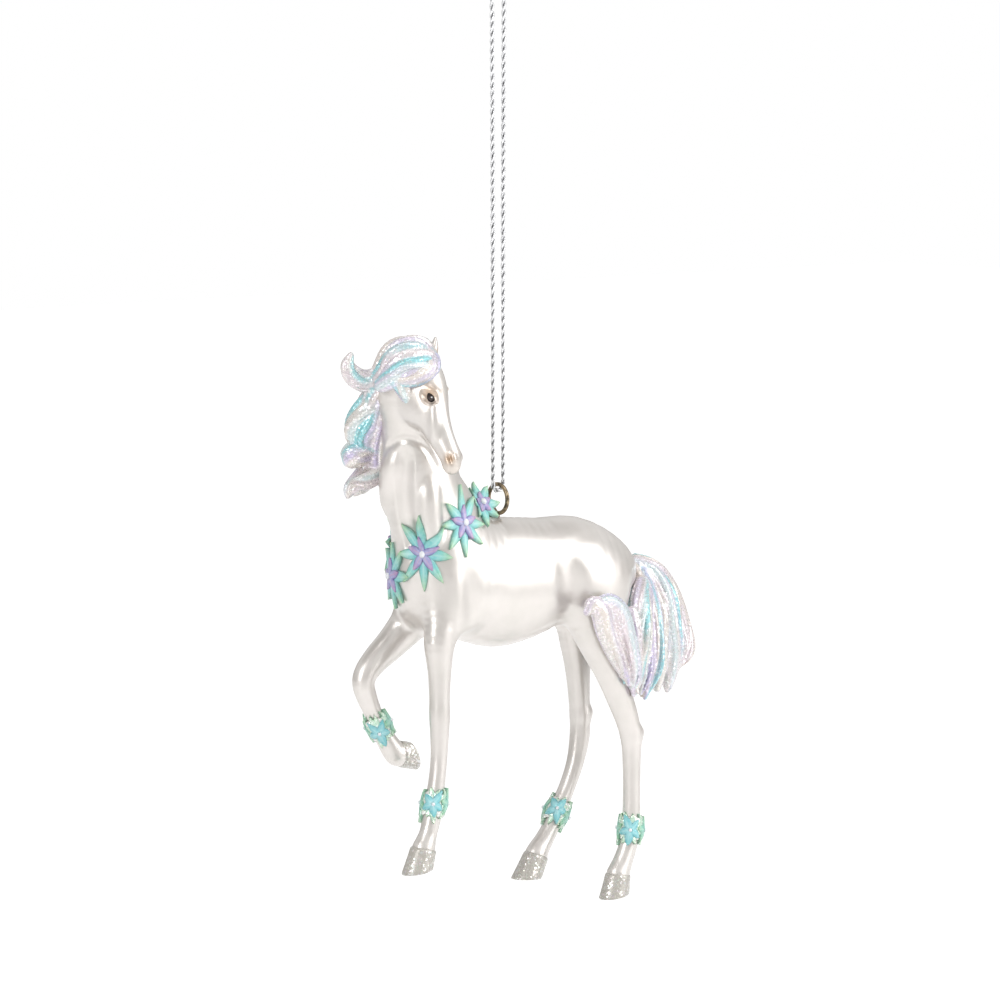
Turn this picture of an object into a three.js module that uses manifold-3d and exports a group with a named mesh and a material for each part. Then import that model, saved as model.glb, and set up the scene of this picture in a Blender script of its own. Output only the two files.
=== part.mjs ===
// Horse ornament: a pearl figurine that swings on a metallic cord loop.
// Millimetres, +Z up, horse facing -X with its left side at -Y.
// The origin is the hanging point, inside the top of the cord loop.

import * as THREE from 'three';
import { mergeVertices } from 'three/addons/utils/BufferGeometryUtils.js';
import Module from 'manifold-3d';

const wasm = await Module();
wasm.setup();

// Clearances
const GLUE_GAP = 0.2; // glue line between a piece and its seat
const CORD_GAP = 0.3; // cord to wire, and cord end to knot

// The station tables and flower seats below are drawn for a figure of DRAWN_HEIGHT, ears to soles,
// and are enlarged or reduced with FIGURE_HEIGHT.
const FIGURE_HEIGHT = 87.3;
const DRAWN_HEIGHT = 87.3;

// Cord loop and eye ring
const LOOP_DROP = 78; // hanging point down to the top of the eye ring
const CORD_DIAMETER = 0.7;
const WIRE_DIAMETER = 0.66;
const RING_OUTER = 5.0;
const SHANK_LENGTH = 5.5;
const KNOT_HEIGHT = 3.4;
const KNOT_WIDTH = 2.6;
const KNOT_RISE = 3.0; // hanging point up to the foot of the knot

// Stance and limbs
const FORE_SPREAD = 4.4; // centre plane to the middle of a foreleg
const HIND_SPREAD = 4.6;
const LIMB_SIDES = 12;
const EAR_SIDES = 8;

// Skin of the casting
const SKIN_STEP = 1.2; // distance between the skin's points before it is thinned out
const SKIN_TOLERANCE = 0.12; // how far thinning out may move the skin
const STEPS_PER_STATION = 4;
const LOWER_LEG_START = 2; // station of a leg from which it is lofted
const NECK_FILLET = 3.5; // how far apart two forms may be and still melt together
const LIMB_FILLET = 2.2;
const HEAD_FILLET = 1.6;
const FILLET_REACH = 4; // further off than this, a form has no part in the skin

// Hooves
const HOOF_TOP_DEEP = 2.05;
const HOOF_TOP_WIDE = 1.8;
const SOLE_DEEP = 2.55;
const SOLE_WIDE = 2.15;
const HOOF_PEG_RADIUS = 0.95;
const HOOF_PEG_LENGTH = 1.7;

// Ankle flowers
const BAND_HEIGHT = 3.6;
const BAND_WALL = 0.4;
const ANKLET_BLOSSOM_RADIUS = 2.3;
const ANKLET_BLOSSOM_SQUEEZE = 0.62; // width over height
const ANKLET_BLOSSOM_THICK = 0.45;
const ANKLET_HEART_RADIUS = 0.6;
const ANKLET_BEAD_RADIUS = 0.3;
const BLOSSOMS_PER_ANKLET = 4;

// Garland flowers
const LEAF_REACH = 5.0; // flower centre to a leaf tip, up and down
const LEAF_SQUEEZE = 0.76; // width of a flower over its height
const LEAF_COUNT = 8;
const LEAF_THICK = 0.4;
const PETAL_REACH = 2.75;
const PETAL_COUNT = 5;
const PETAL_THICK = 0.4;
const HEART_RADIUS = 0.8; // where the lilac petals part
const FLOWER_TOLERANCE = 0.04; // how far a flower's underside may stray from the coat's facets
const FLOWER_STAND = 3; // how far a flower's outline runs through the coat, each way

// Tail
const TAIL_PEG_RADIUS = 1.0;
const TAIL_PEG_LENGTH = 3.0;
const LOCK_SIDES = 10;

const COLOURS = {
  pearl: new THREE.MeshStandardMaterial({ color: 0xefece6, roughness: 0.25, metalness: 0.15 }),
  glitterHair: new THREE.MeshStandardMaterial({ color: 0xe4e4ee, roughness: 0.35 }),
  glitterHoof: new THREE.MeshStandardMaterial({ color: 0xd5d3ce, roughness: 0.4 }),
  leaf: new THREE.MeshStandardMaterial({ color: 0x86cdbb, roughness: 0.5 }),
  lilac: new THREE.MeshStandardMaterial({ color: 0xa78fc4, roughness: 0.5 }),
  turquoise: new THREE.MeshStandardMaterial({ color: 0x6cc7c9, roughness: 0.5 }),
  silverBand: new THREE.MeshStandardMaterial({ color: 0xdedfd8, roughness: 0.4 }),
  bronze: new THREE.MeshStandardMaterial({ color: 0x8a7048, roughness: 0.35, metalness: 1 }),
  silverCord: new THREE.MeshStandardMaterial({ color: 0xb9bcc4, roughness: 0.35, metalness: 0.7 }),
};

const FORWARD = 180; // heading in degrees that points to the front
// Stations: x, y, z from the top of the ring, then half-depth, half-width and heading in degrees.
// The heading is the way that the depth points; a limb and the trunk keep it forward.
const TRUNK = [
  [-16.6, 0, -13.4, 2.1, 1.5, FORWARD], [-15.6, 0, -13.4, 5.3, 3.5, FORWARD],
  [-13.4, 0, -13.5, 7.6, 5.1, FORWARD], [-10.3, 0, -13.6, 8.6, 6.4, FORWARD],
  [-6.0, 0, -14.3, 9.1, 7.0, FORWARD], [-1, 0, -15.0, 9.8, 7.1, FORWARD],
  [4.0, 0, -14.9, 9.3, 7.2, FORWARD], [9.0, 0, -14.2, 8.3, 7.2, FORWARD],
  [14.0, 0, -14.2, 8.1, 7.0, FORWARD], [18.0, 0, -14.7, 6.8, 6.4, FORWARD],
  [21.2, 0, -15.1, 5.1, 4.9, FORWARD], [23.4, 0, -15.4, 3.0, 2.8, FORWARD],
  [24.4, 0, -15.6, 1.3, 1.2, FORWARD],
];
const NECK = [
  [-10.0, 0, -14.5, 7.0, 5.6, FORWARD], [-11.2, 0, -8.0, 7.4, 5.9, FORWARD],
  [-12.8, 0, -4.0, 7.1, 5.6, 183], [-14.4, 0.1, -0.7, 6.4, 5.6, 190],
  [-15.2, 0.3, 3.5, 6.3, 5.4, 205], [-16.7, 0.2, 7.4, 5.3, 4.9, 230],
  [-18.4, -0.4, 11.3, 4.7, 4.2, 258], [-19.8, -1.4, 15.0, 4.4, 3.7, 285],
  [-19.6, -2.5, 18.3, 3.6, 3.1, 298], [-18.9, -2.9, 20.0, 2.2, 2.0, 300],
];
const HEAD = [
  [-17.6, -2.6, 21.0, 1.3, 1.3, 300], [-17.8, -3.4, 19.0, 2.3, 2.4, 300],
  [-18.0, -4.4, 16.8, 3.1, 3.0, 300], [-18.3, -5.4, 14.6, 3.25, 3.1, 300],
  [-18.7, -6.5, 12.6, 3.0, 2.7, 300], [-18.5, -7.5, 10.7, 2.45, 2.2, 300],
  [-18.2, -8.4, 8.9, 2.05, 1.85, 300], [-17.8, -9.4, 7.0, 1.75, 1.7, 300],
  [-17.4, -10.0, 5.6, 1.6, 1.75, 300], [-17.6, -10.4, 4.4, 1.3, 1.45, 300],
  [-17.7, -10.6, 3.6, 0.6, 0.8, 300],
];
const EARS = {
  right: [
    [-17.6, -4.3, 18.9, 0.8, 0.9, 300], [-17.8, -4.5, 20.8, 0.7, 0.8, 300],
    [-17.9, -4.3, 22.6, 0.2, 0.25, 300],
  ],
  left: [
    [-15.9, -3.4, 18.9, 0.8, 0.9, 300], [-14.8, -2.9, 20.9, 0.7, 0.75, 300],
    [-14.1, -2.5, 22.6, 0.2, 0.25, 300],
  ],
};
// A leg row gives its side offset as a share of the spread, so that the spread moves the whole leg.
const LEGS = {
  front_left: {
    spread: -FORE_SPREAD,
    rows: [
      [-12.2, 0.73, -14.5, 4.2, 2.6], [-13.7, 0.92, -19.0, 3.4, 2.4], [-15.0, 1, -22.7, 2.5, 2.05],
      [-15.0, 1, -27.0, 1.85, 1.65], [-15.0, 1, -30.8, 1.6, 1.5], [-15.0, 1, -33.3, 1.65, 1.5],
      [-15.0, 1, -36.3, 1.45, 1.35], [-15.1, 1, -39.6, 1.3, 1.2], [-15.5, 1, -43.0, 1.3, 1.25],
      [-16.1, 1, -46.6, 1.45, 1.3], [-16.6, 1, -48.9, 1.45, 1.35], [-17.2, 1, -50.9, 1.4, 1.3],
      [-17.8, 1, -52.4, 1.65, 1.5], [-18.1, 1, -53.1, 1.85, 1.6],
    ],
    cuff: 9,
    sole: [-19.3, -56.4],
    lean: 8, // degrees that the sole's toe dips
    crown: -14, // the same for the coronet
  },
  front_right: {
    spread: FORE_SPREAD,
    rows: [
      [-11.0, 0.77, -15.0, 4.2, 2.5], [-13.0, 0.93, -19.6, 3.4, 2.35], [-16.5, 1, -23.0, 2.6, 2.05],
      [-19.8, 1, -25.4, 2.15, 1.85], [-21.8, 1, -27.3, 1.9, 1.7], [-22.4, 1, -29.0, 1.75, 1.6],
      [-21.8, 1, -31.0, 1.6, 1.5], [-20.7, 1, -33.3, 1.4, 1.35], [-19.5, 1, -35.5, 1.45, 1.35],
      [-18.5, 1, -37.2, 1.5, 1.4], [-17.3, 1, -38.9, 1.7, 1.5], [-16.3, 1, -40.0, 1.85, 1.6],
      [-15.6, 1, -40.2, 1.9, 1.65],
    ],
    cuff: 8,
    sole: [-13.4, -40.5],
    lean: 110,
    crown: 92,
  },
  hind_left: {
    spread: -HIND_SPREAD,
    rows: [
      [16.2, 0.78, -15.0, 5.8, 3.0], [15.6, 0.93, -20.5, 5.2, 3.0], [16.8, 1, -24.8, 4.2, 2.6],
      [18.5, 1, -29.2, 3.0, 2.1], [20.2, 1, -33.6, 2.25, 1.8], [21.8, 1, -37.3, 1.95, 1.65],
      [22.7, 1, -40.6, 1.7, 1.5], [22.8, 1, -44.8, 1.45, 1.3], [22.8, 1, -49.4, 1.4, 1.3],
      [22.7, 1, -54.2, 1.5, 1.35], [22.1, 1, -57.0, 1.5, 1.35], [21.1, 1, -59.3, 1.6, 1.45],
      [20.4, 1, -60.6, 1.8, 1.55], [20.1, 1, -61.2, 1.9, 1.65],
    ],
    cuff: 9,
    sole: [19.3, -64.5],
    lean: 8,
    crown: -8,
  },
  hind_right: {
    spread: HIND_SPREAD,
    rows: [
      [18.3, 0.78, -15.5, 5.2, 3.0], [19.4, 0.93, -21.0, 4.1, 2.8], [19.6, 1, -25.5, 3.1, 2.3],
      [19.8, 1, -30.0, 2.15, 1.85], [20.1, 1, -34.6, 1.75, 1.6], [20.3, 1, -38.3, 1.65, 1.5],
      [20.2, 1, -41.2, 1.65, 1.45], [19.3, 1, -45.0, 1.4, 1.3], [17.6, 1, -48.8, 1.3, 1.25],
      [15.6, 1, -52.2, 1.45, 1.35], [14.5, 1, -54.3, 1.4, 1.3], [13.1, 1, -56.3, 1.5, 1.4],
      [11.9, 1, -57.8, 1.75, 1.55], [11.5, 1, -58.5, 1.9, 1.65],
    ],
    cuff: 9,
    sole: [9.5, -61.9],
    lean: -2,
    crown: -22,
  },
};
const MANE_LOCKS = [
  // crest, from the poll round the far side of the neck to the withers
  [
    [-16.4, -2.4, 20.4, 1.4, 1.5, 300], [-18.2, -1.6, 20.9, 2.1, 2.2, 300],
    [-19.9, -0.8, 20.0, 2.5, 2.5, 300], [-21.0, 0.2, 17.5, 2.2, 2.4, 300],
    [-22.1, 1.2, 14.1, 2.2, 2.2, 280], [-22.2, 1.8, 10.5, 2.0, 2.1, 260],
    [-21.3, 2.8, 7.0, 1.9, 2.0, 240], [-19.6, 3.6, 3.6, 1.7, 1.9, 220],
    [-17.0, 4.6, 0.8, 1.5, 1.8, 200], [-12.5, 5.2, -1.2, 1.2, 1.6, FORWARD],
    [-8.0, 4.2, -2.0, 0.7, 0.9, FORWARD],
  ],
  // upswept curl
  [
    [-19.8, 0, 15.5, 2.0, 2.1, 300], [-22.4, 0.6, 16.4, 1.8, 1.9, 300],
    [-24.8, 1.4, 16.5, 1.6, 1.7, 300], [-26.4, 2.0, 17.6, 1.35, 1.4, 300],
    [-26.9, 2.2, 19.0, 0.95, 1, 300], [-26.3, 2.2, 20.4, 0.4, 0.4, 300],
  ],
  // full lock below the curl
  [
    [-20.3, 0.6, 15.2, 1.8, 2.0, 290], [-22.1, 1.8, 13.2, 2.2, 2.4, 280],
    [-23.2, 2.6, 10.8, 2.4, 2.5, 270], [-23.6, 3.2, 8.3, 2.1, 2.3, 260],
    [-22.0, 3.2, 6.6, 1.1, 1.2, 250],
  ],
  // round curl end
  [
    [-19.8, 3.0, 7.4, 1.5, 1.6, 270], [-22.6, 3.6, 6.2, 1.8, 1.9, 270],
    [-24.7, 3.8, 5.1, 1.8, 2.0, 270], [-25.6, 3.8, 4.3, 0.9, 1, 270],
  ],
  // lowest lock
  [
    [-19.1, 3.4, 4.9, 1.8, 2.0, 250], [-20.8, 4.2, 2.5, 1.8, 2.1, 250],
    [-23.0, 4.6, 0.9, 1.5, 1.7, 250], [-24.7, 4.6, 0.1, 1, 1.1, 250],
    [-25.2, 4.5, -0.9, 0.4, 0.4, 250],
  ],
  // crown, swept back over the forehead
  [
    [-15.6, -3.2, 20.3, 1, 1.1, 300], [-17.9, -3.8, 21.3, 1.6, 1.7, 300],
    [-20.6, -4.2, 21.2, 1.9, 2.0, 300], [-22.1, -3.6, 20.2, 2.0, 2.1, 300],
    [-22.4, -2.4, 18.4, 1.9, 2.0, 300], [-23.3, -0.8, 16.6, 1.4, 1.5, 300],
  ],
  // crown, lower sweep
  [
    [-16.1, -4.6, 19.2, 0.9, 1, 300], [-17.8, -5.0, 19.9, 1.5, 1.5, 300],
    [-20.4, -5.4, 19.5, 1.8, 1.8, 300], [-22.3, -5.0, 18.7, 1.8, 1.8, 300],
    [-23.5, -3.8, 17.1, 1.6, 1.6, 300], [-24.2, -2.2, 15.9, 1.1, 1.2, 300],
  ],
  // fringe over the temple
  [
    [-22.8, -4.2, 17.7, 1.2, 1.2, 300], [-22.3, -4.8, 15.9, 1.3, 1.4, 300],
    [-21.6, -5.1, 14.3, 0.9, 1, 300], [-21.4, -5.2, 13.1, 0.4, 0.4, 300],
  ],
];
const FORELOCK_LOCKS = [
  [
    [-17.6, -4.2, 20.6, 1, 1.1, 300], [-17.5, -5.5, 19.5, 1.35, 1.4, 300],
    [-18.5, -6.6, 18.4, 1.4, 1.5, 300], [-20.4, -6.4, 17.4, 1.4, 1.5, 300],
    [-22.3, -5.0, 16.9, 1.3, 1.4, 300], [-23.6, -3.4, 16.6, 0.8, 0.9, 300],
  ],
];
const TAIL_LOCKS = [
  // outer sweep
  [
    [27.4, 0, -14.1, 1.3, 1.5, FORWARD], [30.6, 0, -15.3, 1.5, 1.7, FORWARD],
    [33.2, 0, -17.6, 1.7, 1.9, FORWARD], [34.8, -0.4, -20.9, 1.9, 2.1, FORWARD],
    [35.6, -1, -25.3, 2.0, 2.2, FORWARD], [35.0, -1.8, -28.5, 1.9, 2.1, FORWARD],
    [33.0, -2.4, -30.8, 0.9, 1, FORWARD],
  ],
  // second sweep
  [
    [27.1, -0.6, -14.9, 1.3, 1.4, FORWARD], [29.0, -1.2, -15.9, 1.7, 1.8, FORWARD],
    [30.8, -1.8, -19.2, 1.9, 2.0, FORWARD], [31.7, -2.2, -23.6, 1.9, 2.0, FORWARD],
    [32.2, -2.6, -27.9, 1.8, 1.9, FORWARD], [31.7, -3.0, -31.6, 1.4, 1.5, FORWARD],
    [31.3, -3.2, -34.0, 0.5, 0.5, FORWARD],
  ],
  // inner fall
  [
    [27.0, -0.6, -15.5, 1.3, 1.4, FORWARD], [27.2, -2.2, -17.7, 1.8, 1.9, FORWARD],
    [27.3, -3.4, -21.6, 2.1, 2.2, FORWARD], [27.0, -4.2, -26.1, 2.0, 2.1, FORWARD],
    [26.5, -4.6, -30.0, 1.7, 1.8, FORWARD], [25.5, -4.8, -33.1, 0.9, 1, FORWARD],
    [25.3, -4.8, -34.5, 0.4, 0.4, FORWARD],
  ],
  // fall over the thigh
  [
    [25.9, -3.0, -17.2, 1.3, 1.4, FORWARD], [23.7, -5.2, -19.8, 1.7, 1.8, FORWARD],
    [22.4, -6.4, -23.3, 1.8, 1.9, FORWARD], [22.3, -6.6, -26.9, 1.7, 1.8, FORWARD],
    [22.0, -6.4, -30.7, 1.3, 1.4, FORWARD], [21.9, -6.2, -33.1, 0.4, 0.4, FORWARD],
  ],
  // front lobe over the left thigh
  [
    [10.3, -8.5, -19.8, 0.6, 0.6, FORWARD], [11.0, -9.1, -18.4, 1.1, 1.1, FORWARD],
    [12.4, -9.4, -19.7, 1.4, 1.4, FORWARD], [13.5, -9.2, -22.9, 1.5, 1.5, FORWARD],
    [15.5, -8.6, -26.2, 1.4, 1.4, FORWARD], [17.4, -8.0, -28.8, 0.9, 0.9, FORWARD],
    [18.5, -7.7, -30.4, 0.3, 0.4, FORWARD],
  ],
  // second lobe
  [
    [12.0, -8.8, -18.4, 0.7, 0.7, FORWARD], [14.0, -9.1, -18.4, 1.3, 1.3, FORWARD],
    [16.1, -9.1, -20.2, 1.7, 1.7, FORWARD], [17.7, -8.5, -23.7, 1.8, 1.8, FORWARD],
    [19.4, -7.8, -27.5, 1.6, 1.6, FORWARD], [20.6, -7.2, -30.7, 1, 1, FORWARD],
    [20.7, -7.0, -32.1, 0.4, 0.4, FORWARD],
  ],
];
// Muscles and hollows of both sides: middle, half sizes along the rise, across and square to both,
// degrees that the length rises towards the front, and the fillet round it.
const MUSCLES = [
  { at: [-12.2, 3.9, -14.0], half: [6.3, 2.0, 2.8], rise: 70, fillet: 3 }, // shoulder
  { at: [15.0, 4.7, -16.6], half: [6.0, 2.4, 4.8], rise: 60, fillet: 3 }, // haunch
  { at: [8.2, 9.0, -15.0], half: [5.5, 2.0, 1.7], rise: 80, fillet: 2.5, hollow: true }, // flank
  { at: [-10.6, 8.3, -17.5], half: [5.0, 1.3, 1.2], rise: 80, fillet: 2, hollow: true }, // girth
];
// Boxes in which the skin is drawn
const UPPER_FIGURE = { min: [-28, -15, -27], max: [29, 11, 25] };
const GARLAND_PLACE = { min: [-23, -10, -21], max: [5, 10, 3] };
// Garland flowers: seat point on the coat, then the way that the flower faces.
const GARLAND = [
  { seat: [-6.2, -2.5, -2.7], out: [0.35, -0.7, 0.55] },
  { seat: [-11.7, -5.7, -4.9], out: [0, -0.98, 0.18] },
  { seat: [-17.6, -3.9, -9.2], out: [-0.75, -0.65, 0.06] },
  { seat: [-19.1, 1.2, -12.8], out: [-0.95, 0.28, 0] },
  { seat: [-14.5, 6.2, -8.5], out: [-0.31, 0.94, 0.17] },
  { seat: [-8.5, 5.2, -4.7], out: [0.29, 0.9, 0.32] },
  { seat: [-2.4, 3.0, -6.0], out: [0.18, 0.56, 0.81] },
];

/** A drawn point, or a drawn station with its heading kept, at the figure's own size. */
const sized = (row) => row.map((value, i) => (i === 5 ? value : (value * FIGURE_HEIGHT) / DRAWN_HEIGHT));

/** A smooth curve through points. */
const curve = (points) => new THREE.CatmullRomCurve3(points, false, 'catmullrom', 0.5);

/** The depth and width directions of a section across a path. */
function sectionAxes(along, degrees) {
  const heading = THREE.MathUtils.degToRad(degrees);
  const across = new THREE.Vector3(Math.sin(heading), -Math.cos(heading), 0);
  across.addScaledVector(along, -across.dot(along)).normalize();
  return { across, depth: new THREE.Vector3().crossVectors(across, along).normalize() };
}

/** A closed solid lofted through stations, each section an ellipse across the path or in its plane. */
function loft(stations, sides, { grow = 0, planes = null } = {}) {
  const line = curve(stations.map(([x, y, z]) => new THREE.Vector3(x, y, z)));
  const swell = curve(stations.map(([, , , deep, wide, turn]) => new THREE.Vector3(deep, wide, turn)));
  const spans = stations.length - 1;
  const vertices = [];
  for (let i = 0; i <= spans; i++) {
    const t = i / spans;
    const along = planes ? planes[i] : line.getTangent(t);
    const size = swell.getPoint(t);
    const centre = line.getPoint(t);
    if (i === 0) centre.addScaledVector(line.getTangent(t), -grow);
    if (i === spans) centre.addScaledVector(line.getTangent(t), grow);
    const { across, depth } = sectionAxes(along, size.z);
    for (let k = 0; k < sides; k++) {
      const angle = (2 * Math.PI * k) / sides;
      vertices.push(centre.clone()
        .addScaledVector(depth, Math.cos(angle) * (size.x + grow))
        .addScaledVector(across, Math.sin(angle) * (size.y + grow)));
    }
  }
  const index = [];
  for (let i = 0; i < spans; i++) {
    for (let k = 0; k < sides; k++) {
      const a = i * sides + k;
      const b = i * sides + ((k + 1) % sides);
      index.push(a, b, a + sides, b, b + sides, a + sides);
    }
  }
  const last = spans * sides;
  for (let k = 1; k < sides - 1; k++) {
    index.push(0, k + 1, k);
    index.push(last, last + k, last + k + 1);
  }
  const geometry = new THREE.BufferGeometry().setFromPoints(vertices);
  geometry.setIndex(index);
  return solidOf(geometry);
}

/** A geometry as a solid that can be joined and cut; turned inside out if it comes out negative. */
function solidOf(geometry) {
  const bare = geometry.clone();
  bare.deleteAttribute('normal');
  bare.deleteAttribute('uv');
  const merged = mergeVertices(bare, 1e-5);
  const triVerts = Uint32Array.from(merged.index.array);
  const p = merged.attributes.position.array;
  let volume = 0;
  for (let i = 0; i < triVerts.length; i += 3) {
    const [a, b, c] = [triVerts[i] * 3, triVerts[i + 1] * 3, triVerts[i + 2] * 3];
    volume += p[a] * (p[b + 1] * p[c + 2] - p[b + 2] * p[c + 1])
      - p[a + 1] * (p[b] * p[c + 2] - p[b + 2] * p[c])
      + p[a + 2] * (p[b] * p[c + 1] - p[b + 1] * p[c]);
  }
  if (volume < 0) {
    for (let i = 0; i < triVerts.length; i += 3) {
      [triVerts[i + 1], triVerts[i + 2]] = [triVerts[i + 2], triVerts[i + 1]];
    }
  }
  return new wasm.Manifold(new wasm.Mesh({ numProp: 3, vertProperties: Float32Array.from(p), triVerts }));
}

/** A solid as a geometry for a mesh. */
function geometryOf(solid) {
  const mesh = solid.getMesh();
  const geometry = new THREE.BufferGeometry();
  geometry.setAttribute('position', new THREE.BufferAttribute(Float32Array.from(mesh.vertProperties), 3));
  geometry.setIndex(Array.from(mesh.triVerts));
  geometry.computeVertexNormals();
  return geometry;
}

/** All solids of a list as one. */
const join = (solids) => solids.reduce((sum, solid) => sum.add(solid));

/** The solid's largest connected piece, which drops the crumbs that a cut leaves. */
function mainPiece(solid) {
  const pieces = solid.decompose();
  return pieces.reduce((best, piece) => (piece.volume() > best.volume() ? piece : best));
}

/** A round rod between two points. */
function rod(from, to, radius, sides = 12) {
  const start = new THREE.Vector3(...from);
  const end = new THREE.Vector3(...to);
  const geometry = new THREE.CylinderGeometry(radius, radius, start.distanceTo(end), sides);
  const turn = new THREE.Quaternion().setFromUnitVectors(
    new THREE.Vector3(0, 1, 0), end.clone().sub(start).normalize());
  geometry.applyQuaternion(turn);
  geometry.translate(...start.add(end).multiplyScalar(0.5).toArray());
  return solidOf(geometry);
}

/** Outline of a flower: pointed or round-ended petals round a small heart. */
function flowerShape(count, reach, heart, fullness, squeeze) {
  const shape = new THREE.Shape();
  const at = (radius, angle) => [radius * Math.cos(angle) * squeeze, radius * Math.sin(angle)];
  const step = (2 * Math.PI) / count;
  for (let k = 0; k < count; k++) {
    const middle = Math.PI / 2 + k * step;
    const notch = at(heart, middle - step / 2);
    if (k === 0) shape.moveTo(...notch);
    else shape.lineTo(...notch);
    shape.lineTo(...at(reach * 0.66, middle - step * fullness));
    shape.lineTo(...at(reach, middle));
    shape.lineTo(...at(reach * 0.66, middle + step * fullness));
  }
  shape.closePath();
  return shape;
}

/** A flower outline as a prism that stands through its seat along the way that the flower faces. */
function flowerPrism(shape, seat, out, below = FLOWER_STAND) {
  const geometry = new THREE.ExtrudeGeometry(shape, { depth: below + FLOWER_STAND, bevelEnabled: false });
  geometry.translate(0, 0, -below);
  const z = new THREE.Vector3(...out).normalize();
  const x = new THREE.Vector3().crossVectors(new THREE.Vector3(0, 0, 1), z).normalize();
  const y = new THREE.Vector3().crossVectors(z, x);
  geometry.applyMatrix4(new THREE.Matrix4().makeBasis(x, y, z).setPosition(...seat));
  return solidOf(geometry);
}

/** A small round bead. */
function bead(centre, radius) {
  const geometry = new THREE.IcosahedronGeometry(radius, 0);
  geometry.translate(...centre);
  return solidOf(geometry);
}

/** The space round the eye ring and its shank that garland flowers keep clear of. */
function eyeScrewSpace() {
  const geometry = new THREE.TorusGeometry(ringRadius, WIRE_DIAMETER / 2 + CORD_GAP, 8, 20);
  geometry.rotateY(Math.PI / 2);
  geometry.translate(0, 0, -RING_OUTER / 2);
  return solidOf(geometry).add(screwHole);
}

/** Stations of a leg from its rows. */
const legStations = ({ rows, spread }) =>
  rows.map(([x, share, z, deep, wide]) => {
    const [ownX, , ownZ, ownDeep, ownWide] = sized([x, 0, z, deep, wide]);
    return [ownX, share * spread, ownZ, ownDeep, ownWide, FORWARD];
  });

/** The middle of a leg's sole. */
function soleMiddle({ sole, spread }) {
  const [x, z] = sized(sole);
  return new THREE.Vector3(x, spread, z);
}

/** The way down from a plane whose front edge dips by some degrees. */
function leanNormal(degrees) {
  const lean = THREE.MathUtils.degToRad(degrees);
  return new THREE.Vector3(Math.sin(lean), 0, -Math.cos(lean));
}

/** The peg that a leg ends in, inside its hoof. */
function hoofPeg(leg, grow = 0) {
  const top = new THREE.Vector3(...legStations(leg).at(-1).slice(0, 3));
  const down = soleMiddle(leg).sub(top).normalize();
  const tip = top.clone().addScaledVector(down, HOOF_PEG_LENGTH + grow);
  const root = top.clone().addScaledVector(down, -HOOF_PEG_LENGTH / 2);
  return rod(root.toArray(), tip.toArray(), HOOF_PEG_RADIUS + grow);
}

/** Spans of a limb between fine stations, each end with its centre, half sizes and axes. */
function limbSpans(stations) {
  const line = curve(stations.map(([x, y, z]) => new THREE.Vector3(x, y, z)));
  const swell = curve(stations.map(([, , , deep, wide, turn]) => new THREE.Vector3(deep, wide, turn)));
  const count = (stations.length - 1) * STEPS_PER_STATION;
  const ends = Array.from({ length: count + 1 }, (_, i) => ({
    centre: line.getPoint(i / count), size: swell.getPoint(i / count),
  }));
  ends.forEach((end, i) => {
    const along = ends[Math.min(i + 1, count)].centre.clone().sub(ends[Math.max(i - 1, 0)].centre).normalize();
    Object.assign(end, sectionAxes(along, end.size.z));
  });
  return ends.slice(0, -1).map((from, i) => {
    const to = ends[i + 1];
    const path = to.centre.clone().sub(from.centre);
    const cap = Math.min(from.size.x, from.size.y, to.size.x, to.size.y);
    const widest = Math.max(from.size.x, from.size.y, to.size.x, to.size.y);
    return {
      from, to, path, cap, length: path.length(), reach: path.length() + widest + FILLET_REACH,
      pathDepth: [path.dot(from.depth), path.dot(to.depth)],
      pathAcross: [path.dot(from.across), path.dot(to.across)],
    };
  });
}

/** Roughly how far offsets along an oval's own axes lie outside it. */
function ovalGap(u, v, w, halfU, halfV, halfW) {
  const [a, b, c] = [u / halfU, v / halfV, w / halfW];
  const share = Math.sqrt(a * a + b * b + c * c);
  const slope = Math.sqrt((a / halfU) ** 2 + (b / halfV) ** 2 + (c / halfW) ** 2);
  return (share * (share - 1)) / (slope + 1e-5);
}

/** How far a point lies outside a limb, or FILLET_REACH where it is further. */
function limbGap(spans, point) {
  let gap = FILLET_REACH;
  for (const { from, to, path, cap, length, reach, pathDepth, pathAcross } of spans) {
    offset.subVectors(point, from.centre);
    if (offset.lengthSq() > reach ** 2) continue;
    const run = offset.dot(path) / length;
    const t = Math.min(Math.max(run / length, 0), 1);
    const u = (1 - t) * (offset.dot(from.depth) - t * pathDepth[0])
      + t * (offset.dot(to.depth) - t * pathDepth[1]);
    const v = (1 - t) * (offset.dot(from.across) - t * pathAcross[0])
      + t * (offset.dot(to.across) - t * pathAcross[1]);
    const deep = from.size.x + t * (to.size.x - from.size.x);
    const wide = from.size.y + t * (to.size.y - from.size.y);
    gap = Math.min(gap, ovalGap(u, v, run - t * length, deep, wide, cap));
  }
  return gap;
}

/** How far a point lies outside a muscle, or FILLET_REACH where it is further. */
function muscleGap({ centre, half, axes }, point) {
  offset.subVectors(point, centre);
  if (offset.lengthSq() > (Math.max(...half) + FILLET_REACH) ** 2) return FILLET_REACH;
  return ovalGap(...axes.map((axis) => offset.dot(axis)), ...half);
}

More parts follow.
